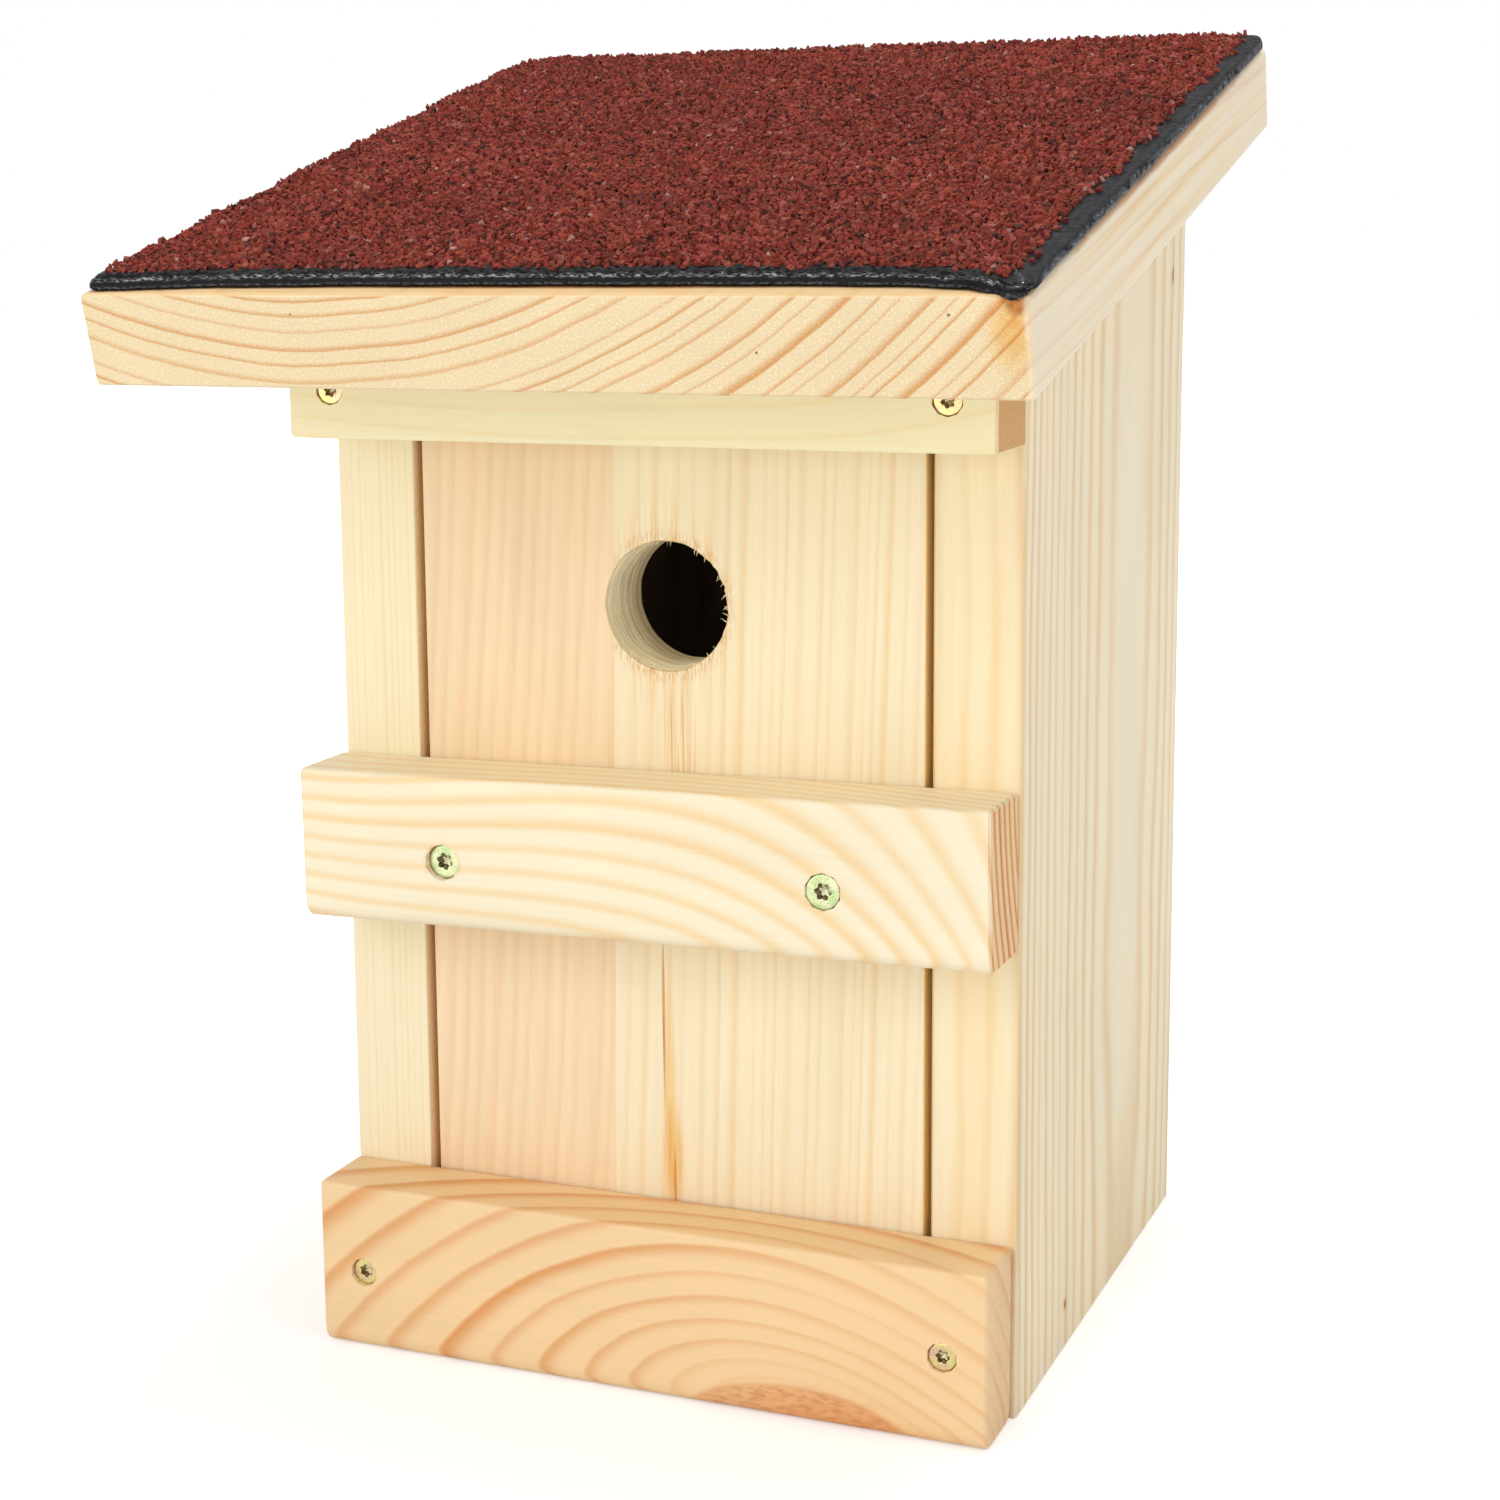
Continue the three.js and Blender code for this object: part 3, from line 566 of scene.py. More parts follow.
# body, slot and wood of each board
boards = {"right_side_panel": ("box", "side_pine", sideWood),
          "left_side_panel": ("box", "side_pine", leftSideWood),
          "roof_board": ("box", "roof_pine", roofWood), "top_bar": ("box", "bar_pine", topWood),
          "grip_bar": ("door", "bar_pine", gripWood), "bottom_bar": ("box", "foot_bar_pine", footWood)}
for nodeName, (body, slotName, wood) in boards.items():
    dress(easedBoard(nodeName, pineMaterial(nodeName + "_pine", wood)), body, slotName, nodeName)


def recolour(nodeName, material):
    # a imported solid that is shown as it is
    nodes[nodeName].data.materials.clear()
    nodes[nodeName].data.materials.append(material)


recolour("floor_panel", pineMaterial("floor_panel_pine", leftSideWood))
recolour("back_panel", pineMaterial("back_panel_pine", backWoodPaintedShade))

# The door: two staves glued edge to edge, with the entrance bored through them

door = {"left": -66.1, "right": 66.1, "foot": 22.3, "top": 245.7, "front": -40.98, "back": -18.98,
        "hole": (0.0, 195.0), "radius": 16.0, "around": 192, "arris": 0.5, "holeArris": 0.3, "margin": 0.5,
        "groove": 0.14, "ragged": 0.9, "tearDepth": 1.6, "boreRings": 64, "joint": (-13.3, -15.8)}


def rectangleRing(inset, unit, corners):
    # the door's outline, pulled in by inset, met by rays from the hole
    low = np.array([door["left"], door["foot"]]) + inset
    high = np.array([door["right"], door["top"]]) - inset
    centre = np.array(door["hole"])
    with np.errstate(divide="ignore"):
        reach = np.abs((np.where(unit > 0, high, low) - centre) / unit).min(axis=1)
    ring = centre + unit * reach[:, None]
    for i, signs in corners.items():
        ring[i] = np.where(np.array(signs) > 0, high, low)
    return ring


def doorRings():
    # closed rings from the front face round the edge to the back face and out through the hole
    front, back, arris, rim, radius = [door[k] for k in ("front", "back", "arris", "holeArris", "radius")]
    count = door["around"]
    angles = np.arange(count) / count * 2 * math.pi
    corners = {}
    for sideX, sideZ in ((1, 1), (-1, 1), (-1, -1), (1, -1)):
        x = (door["right"] if sideX > 0 else door["left"]) - door["hole"][0]
        z = (door["top"] if sideZ > 0 else door["foot"]) - door["hole"][1]
        nearest = int(round(math.atan2(z, x) % (2 * math.pi) / (2 * math.pi) * count)) % count
        corners[nearest] = (sideX, sideZ)
    unit = np.stack([np.cos(angles), np.sin(angles)], 1)

    def circle(size):
        return np.array(door["hole"]) + unit * np.asarray(size).reshape(-1, 1)

    def edge(inset):
        return rectangleRing(inset, unit, corners)

    # the front rim is torn most on its right side
    tear = door["ragged"] * np.array([
        max(0.0, math.cos(a - 0.5)) ** 2 * max(0.0, wander(math.cos(a) * 9, math.sin(a) * 9, 0, 31))
        + 0.25 * max(0.0, wander(math.cos(a) * 5, math.sin(a) * 5, 0, 32)) for a in angles])
    quarter = [(math.sin(math.radians(a)), math.cos(math.radians(a))) for a in (0, 30, 60, 90)]
    inner, outer = circle(radius + rim + door["margin"]), edge(arris + door["margin"])
    flat = [inner * share + outer * (1 - share) for share in (1.0, 0.66, 0.33)] + [outer]
    rings = [(ring, front) for ring in flat]
    rings += [(edge(arris * (1 - s)), front + arris * (1 - c)) for s, c in quarter]
    rings += [(edge(arris * (1 - c)), back - arris * (1 - s)) for s, c in quarter]
    rings += [(ring, back) for ring in flat[::-1]]
    rings += [(circle(radius + rim * (1 - s)), back - rim * (1 - c)) for s, c in quarter]
    boreFrom = len(rings) - 1
    for y in np.linspace(back - rim - 0.3, front + rim + 0.3, door["boreRings"]):
        near = max(0.0, 1 - (y - front) / door["tearDepth"])
        turned = math.sin(y * 5.2 + 0.6 * math.sin(y * 1.3))
        groove = [turned + 0.8 * wander(math.cos(a) * 3, y * 1.6, math.sin(a) * 3, 33) for a in angles]
        rings.append((circle(radius + door["groove"] * np.array(groove) + tear * near), y))
    boreTo = len(rings)
    rings += [(circle(radius + tear + rim * (1 - c)), front + rim * (1 - s)) for s, c in quarter]
    return rings, boreFrom, boreTo


def makeDoor(*materials):
    # materials: left stave, right stave and bore
    rings, boreFrom, boreTo = doorRings()
    count = door["around"]
    points = [(x, y, z) for ring, y in rings for x, z in ring]
    piece = meshPiece("door_staves", points, loftFaces(len(rings), count, joinLast=True))
    for material in materials:
        piece.data.materials.append(material)
    for face in piece.data.polygons:
        face.material_index = 2 if boreFrom <= face.index // count < boreTo else 0
    # the glue line parts the two staves
    shape = bmesh.new()
    shape.from_mesh(piece.data)
    top, foot = door["joint"]
    lean = (foot - top) / (door["foot"] - door["top"])
    normal = Vector((1.0, 0.0, -lean)).normalized()
    point = Vector((top, 0, door["top"])) * mm
    bmesh.ops.bisect_plane(shape, geom=shape.verts[:] + shape.edges[:] + shape.faces[:], plane_co=point,
                           plane_no=normal, dist=1e-7)
    for face in shape.faces:
        if face.material_index == 0 and (face.calc_center_median() - point).dot(normal) > 0:
            face.material_index = 1
    shape.to_mesh(piece.data)
    shape.free()
    piece.data.set_sharp_from_angle(angle=math.radians(48))
    return finishBoard(piece)


dress(makeDoor(pineMaterial("left_stave_pine", leftStave), pineMaterial("right_stave_pine", rightStave),
               pineMaterial("bored_pine", boreWoodPaintedLight)), "door", "door_pine", "door_panel")


# Geometry Nodes: what the groups share

def geometryGroup(name, **inputs):
    return newGroup(name, "GeometryNodeTree", {"Geometry": None, **inputs},
                    {"Geometry": "NodeSocketGeometry"})


def instances(tree, points, shape, turn, size):
    inputs = {"Points": points, "Instance": shape, "Rotation": turn, "Scale": size}
    return put(tree, "GeometryNodeInstanceOnPoints", inputs)


def realised(tree, geometry):
    return put(tree, "GeometryNodeRealizeInstances", {"Geometry": geometry})


def moved(tree, geometry, offset):
    return put(tree, "GeometryNodeSetPosition", {"Geometry": geometry, "Offset": offset})


def carried(tree, label, kind="FLOAT"):
    return put(tree, "GeometryNodeInputNamedAttribute", {"Name": label}, out="Attribute", data_type=kind)


def randomNumber(tree, low, high, seed):
    return put(tree, "FunctionNodeRandomValue", {2: low, 3: high, "Seed": seed}, out=1, data_type="FLOAT")


def randomVector(tree, low, high, seed):
    return put(tree, "FunctionNodeRandomValue", {0: (low,) * 3, 1: (high,) * 3, "Seed": seed},
               data_type="FLOAT_VECTOR")


def endGroup(tree, geometry, material):
    coated = put(tree, "GeometryNodeSetMaterial", {"Geometry": geometry, "Material": material})
    put(tree, "NodeGroupOutput", {"Geometry": coated}, out=None)
    return tree


# Torn fibres round the entrance. A stretch is its angles from and to, and its count.

rimFibres = {"long": 1.9, "wide": 0.3, "seed": 5,
             "stretches": [(-12, 12, 5), (12, 62, 9), (82, 122, 12), (222, 262, 9), (262, 325, 6)]}


def fibreGroup(material):
    tree, given = geometryGroup("rimFibres", Length=0.001, Width=0.0002, Seed=0)
    fibre = put(tree, "GeometryNodeMeshCone", {"Vertices": 5, "Side Segments": 4, "Radius Top": 0.06,
                                               "Radius Bottom": 0.5, "Depth": 1.0}, fill_type="NGON")
    size = combine(tree, given["Width"], given["Width"] * 0.35,
                   randomNumber(tree, 0.35, 1.0, given["Seed"]) * given["Length"])
    fibres = instances(tree, given["Geometry"], fibre, carried(tree, "turn", "FLOAT_VECTOR"), size)
    # each fibre bends a little
    bend = put(tree, "ShaderNodeTexNoise", {"Scale": 900.0}, out="Color").vector("SUBTRACT", (0.5, 0.5, 0.5))
    return endGroup(tree, moved(tree, realised(tree, fibres), bend.scaled(0.0005)), material)


def makeRimFibres(material):
    chance = random.Random(rimFibres["seed"])
    places, turns = [], []
    centreX, centreZ = door["hole"]
    for start, end, count in rimFibres["stretches"]:
        for _ in range(count):
            angle = math.radians(chance.uniform(start, end))
            reach = door["radius"] + chance.uniform(-0.05, 0.25)
            places.append((centreX + reach * math.cos(angle), door["front"] + chance.uniform(-0.02, 0.5),
                           centreZ + reach * math.sin(angle)))
            # fibres follow the upright grain and lean into the hole
            inward = Vector((-math.cos(angle), chance.uniform(-0.7, 0.2), -math.sin(angle)))
            grain = Vector((0, 0, 1 if math.sin(angle) < 0 else -1))
            way = (inward * chance.uniform(0.3, 1.0) + grain * chance.uniform(0.3, 1.0)).normalized()
            turns.append(way.to_track_quat("Z", "X").to_euler())
    carrier = meshPiece("fibre_places", places, [])
    paintMesh(carrier, turn=[tuple(t) for t in turns])
    values = {"Length": rimFibres["long"] * mm, "Width": rimFibres["wide"] * mm, "Seed": rimFibres["seed"]}
    fibres = runNodes(carrier, fibreGroup(material), values, "rim_fibres")
    fibres.data.shade_smooth()
    dress(fibres, "door", "door_pine", "door_panel")


makeRimFibres(pineMaterial("torn_pine", tornWood))

# The roof's own directions: across, up the slope from the board's sharp front edge, and off its top

roofShape = {"pitch": math.radians(14), "foot": (0.0, -113.68, 251.67), "length": 242.5, "thickness": 22.0}


def onRoof(x, up, height):
    s, c = math.sin(roofShape["pitch"]), math.cos(roofShape["pitch"])
    off = roofShape["thickness"] + np.asarray(height, float)
    up = np.asarray(up, float)
    foot = roofShape["foot"]
    return np.stack(np.broadcast_arrays(foot[0] + np.asarray(x, float), foot[1] + up * c - off * s,
                                        foot[2] + up * s + off * c), -1)


# section: distance outside the outline, and share of the thickness
covering = {"right": 112.5, "left": -110.3, "frontInset": 0.2, "rearInset": 1.0, "corners": (2.5, 6, 11, 5),
            "frontThickness": 2.7, "rearThickness": 3.6, "lift": 0.3, "step": 0.6, "wave": 0.75, "pits": 0.3,
            "margin": 9.0, "behindLip": 1.6, "lipReach": 40, "slump": 2.3, "slumpWidth": 5.5,
            "section": [(-9.0, 0), (-1.4, 0), (-0.5, 0.03), (-0.05, 0.14), (0.15, 0.3), (0.22, 0.45),
                        (0.2, 0.6), (0.1, 0.74), (-0.08, 0.86), (-0.4, 0.95), (-0.9, 1.0), (-1.4, 1.02),
                        (-1.9, 1.0),
                        *[(-2.5 - 0.6 * k, 1.0) for k in range(11)]]}

# How far the melted front edge lies behind the board's, at some places across it
meltedBack = [(-112, 0.6), (-104, 1.8), (-76, 4.4), (-40, 5.4), (60, 5.6), (84, 5.0), (97, 3.4), (104, 0.6),
              (108, -0.7), (112, -0.4)]


def setBack(x):
    x = min(112.0, max(-112.0, x))
    after = next(i for i, (place, _) in enumerate(meltedBack) if i and x <= place)
    (x0, back0), (x1, back1) = meltedBack[after - 1], meltedBack[after]
    return back0 + (back1 - back0) * eased((x - x0) / (x1 - x0))


def sheetTop(up):
    return covering["lift"] + covering["frontThickness"] + (
        covering["rearThickness"] - covering["frontThickness"]) * np.asarray(up) / roofShape["length"]


def cornerCrease(x, up):
    # a crease that runs inward from the right front corner
    return bell(((x - 111.5) * 0.88 + (up + 0.6) * 0.48) / 0.5) * bell((up + 1) / 9)


def cornerFall(x, up):
    # the sheet bends down at the right front corner
    away = math.hypot(112 - x, (up + 1) * 0.8)
    return covering["slump"] * bell(away / covering["slumpWidth"]) - 1.2 * cornerCrease(x, up)


def sheetPoint(x, up, outX, outUp, inX, inUp, reachOut, share):
    # a point of the sheet's section, moved by waves, roughness and pits near the edge
    edge = 1.0 if reachOut > -1.5 else max(0.0, 1 + (reachOut + 1.5) / 3)
    wave = covering["wave"] * (wander(x / 17, up / 17, 0, 1) + 0.6 * wander(x / 5, up / 5, share * 2, 2))
    rough = 0.16 * wander(x / 0.9, up / 0.9, share * 4, 3) + 0.1 * wander(x / 2.2, up / 2.2, share * 3, 4)
    wall = 1.0 if 0.1 < share < 0.9 else 0.3
    pit = covering["pits"] * max(0.0, wander(x / 1.1, up / 1.1, share * 5, 5) - 0.35) / 0.4
    move = max(0.0, reachOut) + edge * (wave * (0.4 + 0.6 * share) + wall * (rough - pit))
    inward = max(0.0, -reachOut) / covering["margin"]
    newX, newUp = x + (inX - x) * inward + outX * move, up + (inUp - up) * inward + outUp * move
    newUp += (setBack(newX) + covering["behindLip"]) * max(0.0, 1 - newUp / covering["lipReach"])
    thick = covering["lift"] + (sheetTop(newUp) - covering["lift"]) * share
    thick -= cornerFall(newX, newUp) * share
    if share > 0.8:
        thick += edge * 0.22 * wander(x / 2.6, up / 2.6, 0, 6) + 0.12 * wander(newX / 1.2, newUp / 1.2, 0, 7)
    return newX, newUp, thick


def loftOnRoof(name, rings, material):
    # rings of x, up and height
    points = onRoof(*np.moveaxis(rings, -1, 0)).reshape(-1, 3)
    return meshPiece(name, points, loftFaces(*rings.shape[:2]), material)


def makeSheet(material):
    right, left = covering["right"], covering["left"]
    front, rear = covering["frontInset"], roofShape["length"] - covering["rearInset"]
    corners = roundedRectangle((left, front), (right, rear), covering["corners"], 8)
    outline = evenly(corners, covering["step"])
    out = outwards(outline)
    middle = np.array([(right + left) / 2, (front + rear) / 2])
    reach = np.array([(right - left) / 2, (rear - front) / 2])
    inner = middle + (outline - middle) * (1 - covering["margin"] / reach)
    section = covering["section"]
    rings = np.array([[sheetPoint(*place, *away, *inside, *step)
                       for place, away, inside in zip(outline, out, inner)] for step in section])
    piece = loftOnRoof("bitumen_sheet", rings, material)
    # where it melted, where it shines, where it was cut and where it is dusty
    outer, share = [np.repeat([[step[k]] for step in section], len(outline), 1) for k in (0, 1)]
    foot = np.exp(-((share - 0.2) / 0.12) ** 2) * (outer > -0.4)
    crease = np.array([[cornerCrease(x, u) for x, u, _ in ring] for ring in rings])
    paintMesh(piece, melted=np.clip(1.1 - rings[..., 1] / 16, 0, 1) * 0.9,
              shiny=np.clip(foot * 0.5 + (share > 0.9) * 0.08 + 1.5 * crease * (share > 0.9), 0, 1),
              cut=np.clip((0.9 - share) * 8, 0, 1) * (outer > -1),
              dusty=np.exp(-((outer + 4.4) / 0.7) ** 2)
              + 0.6 * np.exp(-((outer + 1.2) / 0.4) ** 2) * (share > 0.9))
    return piece


# The bead's outline: distance behind its foremost line, and height over the board
lip = {"from": -110.6, "to": 112.2, "step": 0.42, "points": 36, "crest": 0.5, "wrinkle": 0.42,
       "smoothing": 24, "drip": 1.1, "dripAt": 108.4, "dripWidth": 2.6,
       "section": [(0.5, 0.12), (0.05, 0.25), (-0.2, 0.6), (-0.05, 0.95), (0.25, 1.15), (0.3, 1.7),
                   (0.45, 2.2), (0.75, 2.6), (1.2, 2.95), (1.9, 3.25), (2.8, 3.4), (3.8, 3.4), (5.0, 3.2),
                   (5.5, 2.7), (4.8, 1.2), (3.0, 0.3)]}


def roundEnd(distance, length):
    # the bead's swelling at this distance from one of its ends
    return math.sqrt(max(0.003, 1 - max(0.0, 1 - distance / length) ** 2))


def makeLip(material):
    # a melted bead along the sheet's front edge: a wrinkled crest, a smooth roll and a drip at the right
    section = evenly(lip["section"], 0.05)
    for _ in range(lip["smoothing"]):
        section = (np.roll(section, 1, 0) + section * 2 + np.roll(section, -1, 0)) / 4
    around = np.sum(np.linalg.norm(section - np.roll(section, 1, 0), axis=1))
    section = evenly(section, 1.0 / lip["points"] * around)
    normals = -outwards(section)
    count = int((lip["to"] - lip["from"]) / lip["step"])
    rings, shine = [], []
    for x in (lip["from"] + (lip["to"] - lip["from"]) * i / count for i in range(count + 1)):
        swell = roundEnd(x - lip["from"], 4) * roundEnd(lip["to"] - x, 2)
        drop = bell((x - lip["dripAt"]) / lip["dripWidth"])
        slump = 1 - 0.42 * eased(clipped((x - 100) / 8))
        crest = lip["crest"] * (wander(x / 11, 0, 0, 10) + 0.6 * wander(x / 3.5, 0, 0, 11))
        back = setBack(x) + 0.3 * wander(x / 9, 0, 0, 15)
        glint = 2.55 + 0.35 * wander(x / 2.3, 0, 0, 16)
        ring = []
        for (up, height), (outUp, outHeight) in zip(section, normals):
            top = clipped(height - 2.0)
            low = clipped((1.0 - height) / 0.9) * (1.0 if up < 1.2 else 0.0)
            wrinkle = wander(x / 1.5 + height * 0.8, up / 0.8, height / 0.8, 12)
            fold = abs(wander(x / 3.4, up / 1.1, 0, 13)) - 0.2
            push = top * lip["wrinkle"] * (wrinkle + 1.3 * fold)
            push += (1 - top) * 0.07 * wander(x / 3, height, up, 14)
            y = up + outUp * push - low * drop * 0.5
            z = height * slump + outHeight * push + top * crest * 0.5 - low * drop * lip["drip"]
            ring.append((x, back + 2.6 + (y - 2.6) * swell, 1.2 + (z - 1.2) * swell))
            bright = 0.5 + 0.5 * math.cos(math.pi * min(1.0, abs(height - glint) / 0.55))
            thin = 0.7 * bell((height - 0.75) / 0.16) * (up < 0.6)
            shine.append(max(bright * (up < 1.6), thin) + 1.2 * drop * (height < 0.45) * (up < 0.6))
        rings.append(ring)
    rings = np.array(rings)
    piece = loftOnRoof("bitumen_lip", rings, material)
    melted = np.ones(rings.shape[:2])
    paintMesh(piece, melted=melted, shiny=np.clip(shine, 0, 1), cut=melted * 0, dusty=melted * 0)
    return piece


def bitumenMaterial():
    # matte and grey where it was cut, black and shiny where it melted
    material, tree, place = newMaterial("bitumen")
    melted, shiny, cut, dusty = [painted(tree, label) for label in ("melted", "shiny", "cut", "dusty")]
    dust, patches = place.noise(0.9, 4.0, 0.65), place.noise(0.22)
    pits = place.noise(0.5, 0.0).ramp(0.6, 0.64)
    scrapes = place.vector("MULTIPLY", (1.7, 0.2, 1.7)).noise(detail=3.0).ramp(0.52, 0.7)
    top = dust.ramp(0.35, 0.7).mix("#08090c", "#1a1c22")
    worn = scrapes.mix("#26272b", "#5a5b60")
    top = (dusty * dust.ramp(0.35, 0.6)).mix(top, worn)
    top = (dusty * pits).mix(top, "#020203")
    wall = dust.ramp(0.3, 0.7).mix("#2a2b2e", "#505155")
    wall = pits.mix((scrapes * 0.7).mix(wall, "#7c7d82"), "#020203")
    melt = dust.ramp(0.4, 0.75).mix("#050506", "#101113")
    broken = place.vector("MULTIPLY", (0.9, 2.6, 2.6)).noise(detail=4.0).ramp(0.42, 0.62)
    shade(tree, {"Base Color": melted.mix(cut.mix(top, wall), melt),
                 "Roughness": dust * 0.25 + patches * 0.2 + 0.4 - melted * 0.3, "Specular IOR Level": 0.1,
                 "Coat Weight": shiny * broken, "Coat Roughness": 0.16, "Coat IOR": 2.3,
                 "Coat Tint": "#e8f2ff"}, (place.noise(2.6, 3.0) + dust * 1.5, 0.5, 0.2))
    return material


bitumen = bitumenMaterial()
dress(makeSheet(bitumen), "box", "bitumen", "roof_felt")
dress(makeLip(bitumen), "box", "bitumen", "roof_felt")

# Mineral granules, strewn over the sheet by Geometry Nodes and broken a little differently each

granuleLook = {"spacing": 1.15, "size": 1.72, "spread": 0.34, "brokenness": 0.25, "sink": 0.22, "seed": 7,
               "density": 3.0e6, "strips": 5, "cell": 1.6, "marginRight": 4.7, "marginLeft": 1.3,
               "marginFront": 3.5, "marginRear": 1.0, "corners": (11, 6, 4)}


def granuleGroup(material):
    tree, given = geometryGroup("strewnGranules", Spacing=1.0, Size=1.0, Spread=0.3, Brokenness=0.2, Seed=0)
    points = put(tree, "GeometryNodeDistributePointsOnFaces", {
        "Mesh": given["Geometry"], "Distance Min": given["Spacing"], "Density Max": granuleLook["density"],
        "Density Factor": carried(tree, "cover"), "Seed": given["Seed"]}, distribute_method="POISSON")
    grain = put(tree, "GeometryNodeMeshIcoSphere", {"Radius": 0.5, "Subdivisions": 1})
    spread = randomVector(tree, -1, 1, 1).vector("MULTIPLY_ADD", given["Spread"], (1.08, 0.95, 0.8))
    granules = instances(tree, points, grain, randomVector(tree, 0, 6.28, 2), spread.scaled(given["Size"]))
    toned = put(tree, "GeometryNodeStoreNamedAttribute", {
        "Geometry": granules, "Name": "tone", "Value": randomNumber(tree, 0.0, 1.0, 3)},
        data_type="FLOAT", domain="INSTANCE")
    broken = randomVector(tree, -1, 1, 4).scaled(given["Brokenness"] * given["Size"])
    granules = moved(tree, realised(tree, toned), broken)
    flat = put(tree, "GeometryNodeSetShadeSmooth", {"Geometry": granules, "Shade Smooth": False})
    return endGroup(tree, flat, material)


def coverAt(x, up):
    # 1 where granules lie, 0 outside them, with a ragged edge
    look = granuleLook
    ragged = 0.6 * wander(x / 2.0, up / 2.0, 0, 20) + 1.5 * wander(x / 14, up / 14, 0, 21)
    right = covering["right"] - look["marginRight"] - 1.6 * bell(up / 8) - x
    left = x - covering["left"] - look["marginLeft"]
    front = up - setBack(x) - look["marginFront"] - 2.2 * bell((112 - x) / 6)
    rear = roofShape["length"] - covering["rearInset"] - look["marginRear"] - up
    inside = min(right, left, front, rear)
    for (sideX, sideUp), radius in zip(((left, rear), (right, rear), (left, front)), look["corners"]):
        if sideX < radius and sideUp < radius:
            inside = min(inside, radius - math.hypot(radius - sideX, radius - sideUp))
    return clipped((inside + ragged) / 0.7)


def makeGranules(material):
    look = granuleLook
    group = granuleGroup(material)
    across = int((covering["right"] - covering["left"]) / look["cell"])
    xs = np.linspace(covering["left"], covering["right"], across + 1)
    wide = len(xs)
    bounds = np.linspace(0, roofShape["length"] - covering["rearInset"], look["strips"] + 1)
    for strip, (start, end) in enumerate(zip(bounds, bounds[1:])):
        ups = np.linspace(start, end, int((end - start) / look["cell"]) + 1)
        grid = [(x, up) for up in ups for x in xs]
        heights = [sheetTop(up) + look["sink"] * (1.1 + wander(x / 3, up / 3, 0, 22)) - cornerFall(x, up)
                   for x, up in grid]
        faces = [(r * wide + c, r * wide + c + 1, (r + 1) * wide + c + 1, (r + 1) * wide + c)
                 for r in range(len(ups) - 1) for c in range(wide - 1)]
        bed = meshPiece("granule_bed", onRoof(*zip(*grid), heights), faces)
        paintMesh(bed, cover=[coverAt(*g) for g in grid])
        values = {"Spacing": look["spacing"] * mm, "Size": look["size"] * mm, "Spread": look["spread"],
                  "Brokenness": look["brokenness"], "Seed": look["seed"] + strip}
        dress(runNodes(bed, group, values, f"roof_granules_strip_{strip + 1}"), "box", "red_granules",
              "roof_granules")


def granuleMaterial():
    material, tree, place = newMaterial("red_granules")
    stops = [(0.0, "#34140e"), (0.1, "#66261b"), (0.5, "#812b1e"), (0.86, "#943c2a"), (0.992, "#965044"),
             (0.998, "#b08578")]
    ramp = tree.nodes.new("ShaderNodeValToRGB")
    while len(ramp.color_ramp.elements) < len(stops):
        ramp.color_ramp.elements.new(0.5)
    for element, (position, code) in zip(ramp.color_ramp.elements, stops):
        element.position = position
        element.color = colour(code)
    feed(tree, ramp.inputs["Fac"], painted(tree, "tone"))
    patches = place.noise(0.02, 3.0).ramp(0.3, 0.7, 0.9, 1.08)
    grit = place.noise(2.5).ramp(0.2, 0.8, 0.82, 1.12)
    dust = place.noise(1.3).ramp(0.5, 0.72) * 0.35
    dusty = dust.mix(Wire(tree, ramp.outputs["Color"]), "#966a5e")
    shade(tree, {"Base Color": dusty.scaled(patches * grit), "Roughness": 0.85, "Specular IOR Level": 0.3})
    return material


makeGranules(granuleMaterial())

# Screws with a six-lobed recess, set by Geometry Nodes

screwKinds = {
    "batten": {"head": 7.0, "shank": 3.2, "core": 2.2, "length": 45.0, "recess": 3.5, "recessDepth": 2.0,
               "threadFrom": 16.0, "pitch": 1.8},
    "grip": {"head": 8.6, "shank": 4.0, "core": 2.7, "length": 40.0, "recess": 4.3, "recessDepth": 2.4,
             "threadFrom": 14.0, "pitch": 2.2},
}
screwLook = {"around": 60, "lobes": 6, "lobeMean": 0.865, "lobeSwing": 0.135, "ribs": 8, "tip": 5,
             "threadSteps": 7}
# x, y of the head's top, z, and the turn of the recess in degrees
screwPlaces = {
    "top_bar_screw_left": (-78.4, -64.28, 248.0, 12), "top_bar_screw_right": (78.4, -64.28, 248.0, 40),
    "bottom_bar_screw_left": (-77.6, -61.68, 20.8, 26), "bottom_bar_screw_right": (77.6, -62.08, 22.4, 8),
    "grip_screw_left": (-50.8, -63.28, 132.0, 18), "grip_screw_right": (48.7, -64.28, 133.3, 5),
}


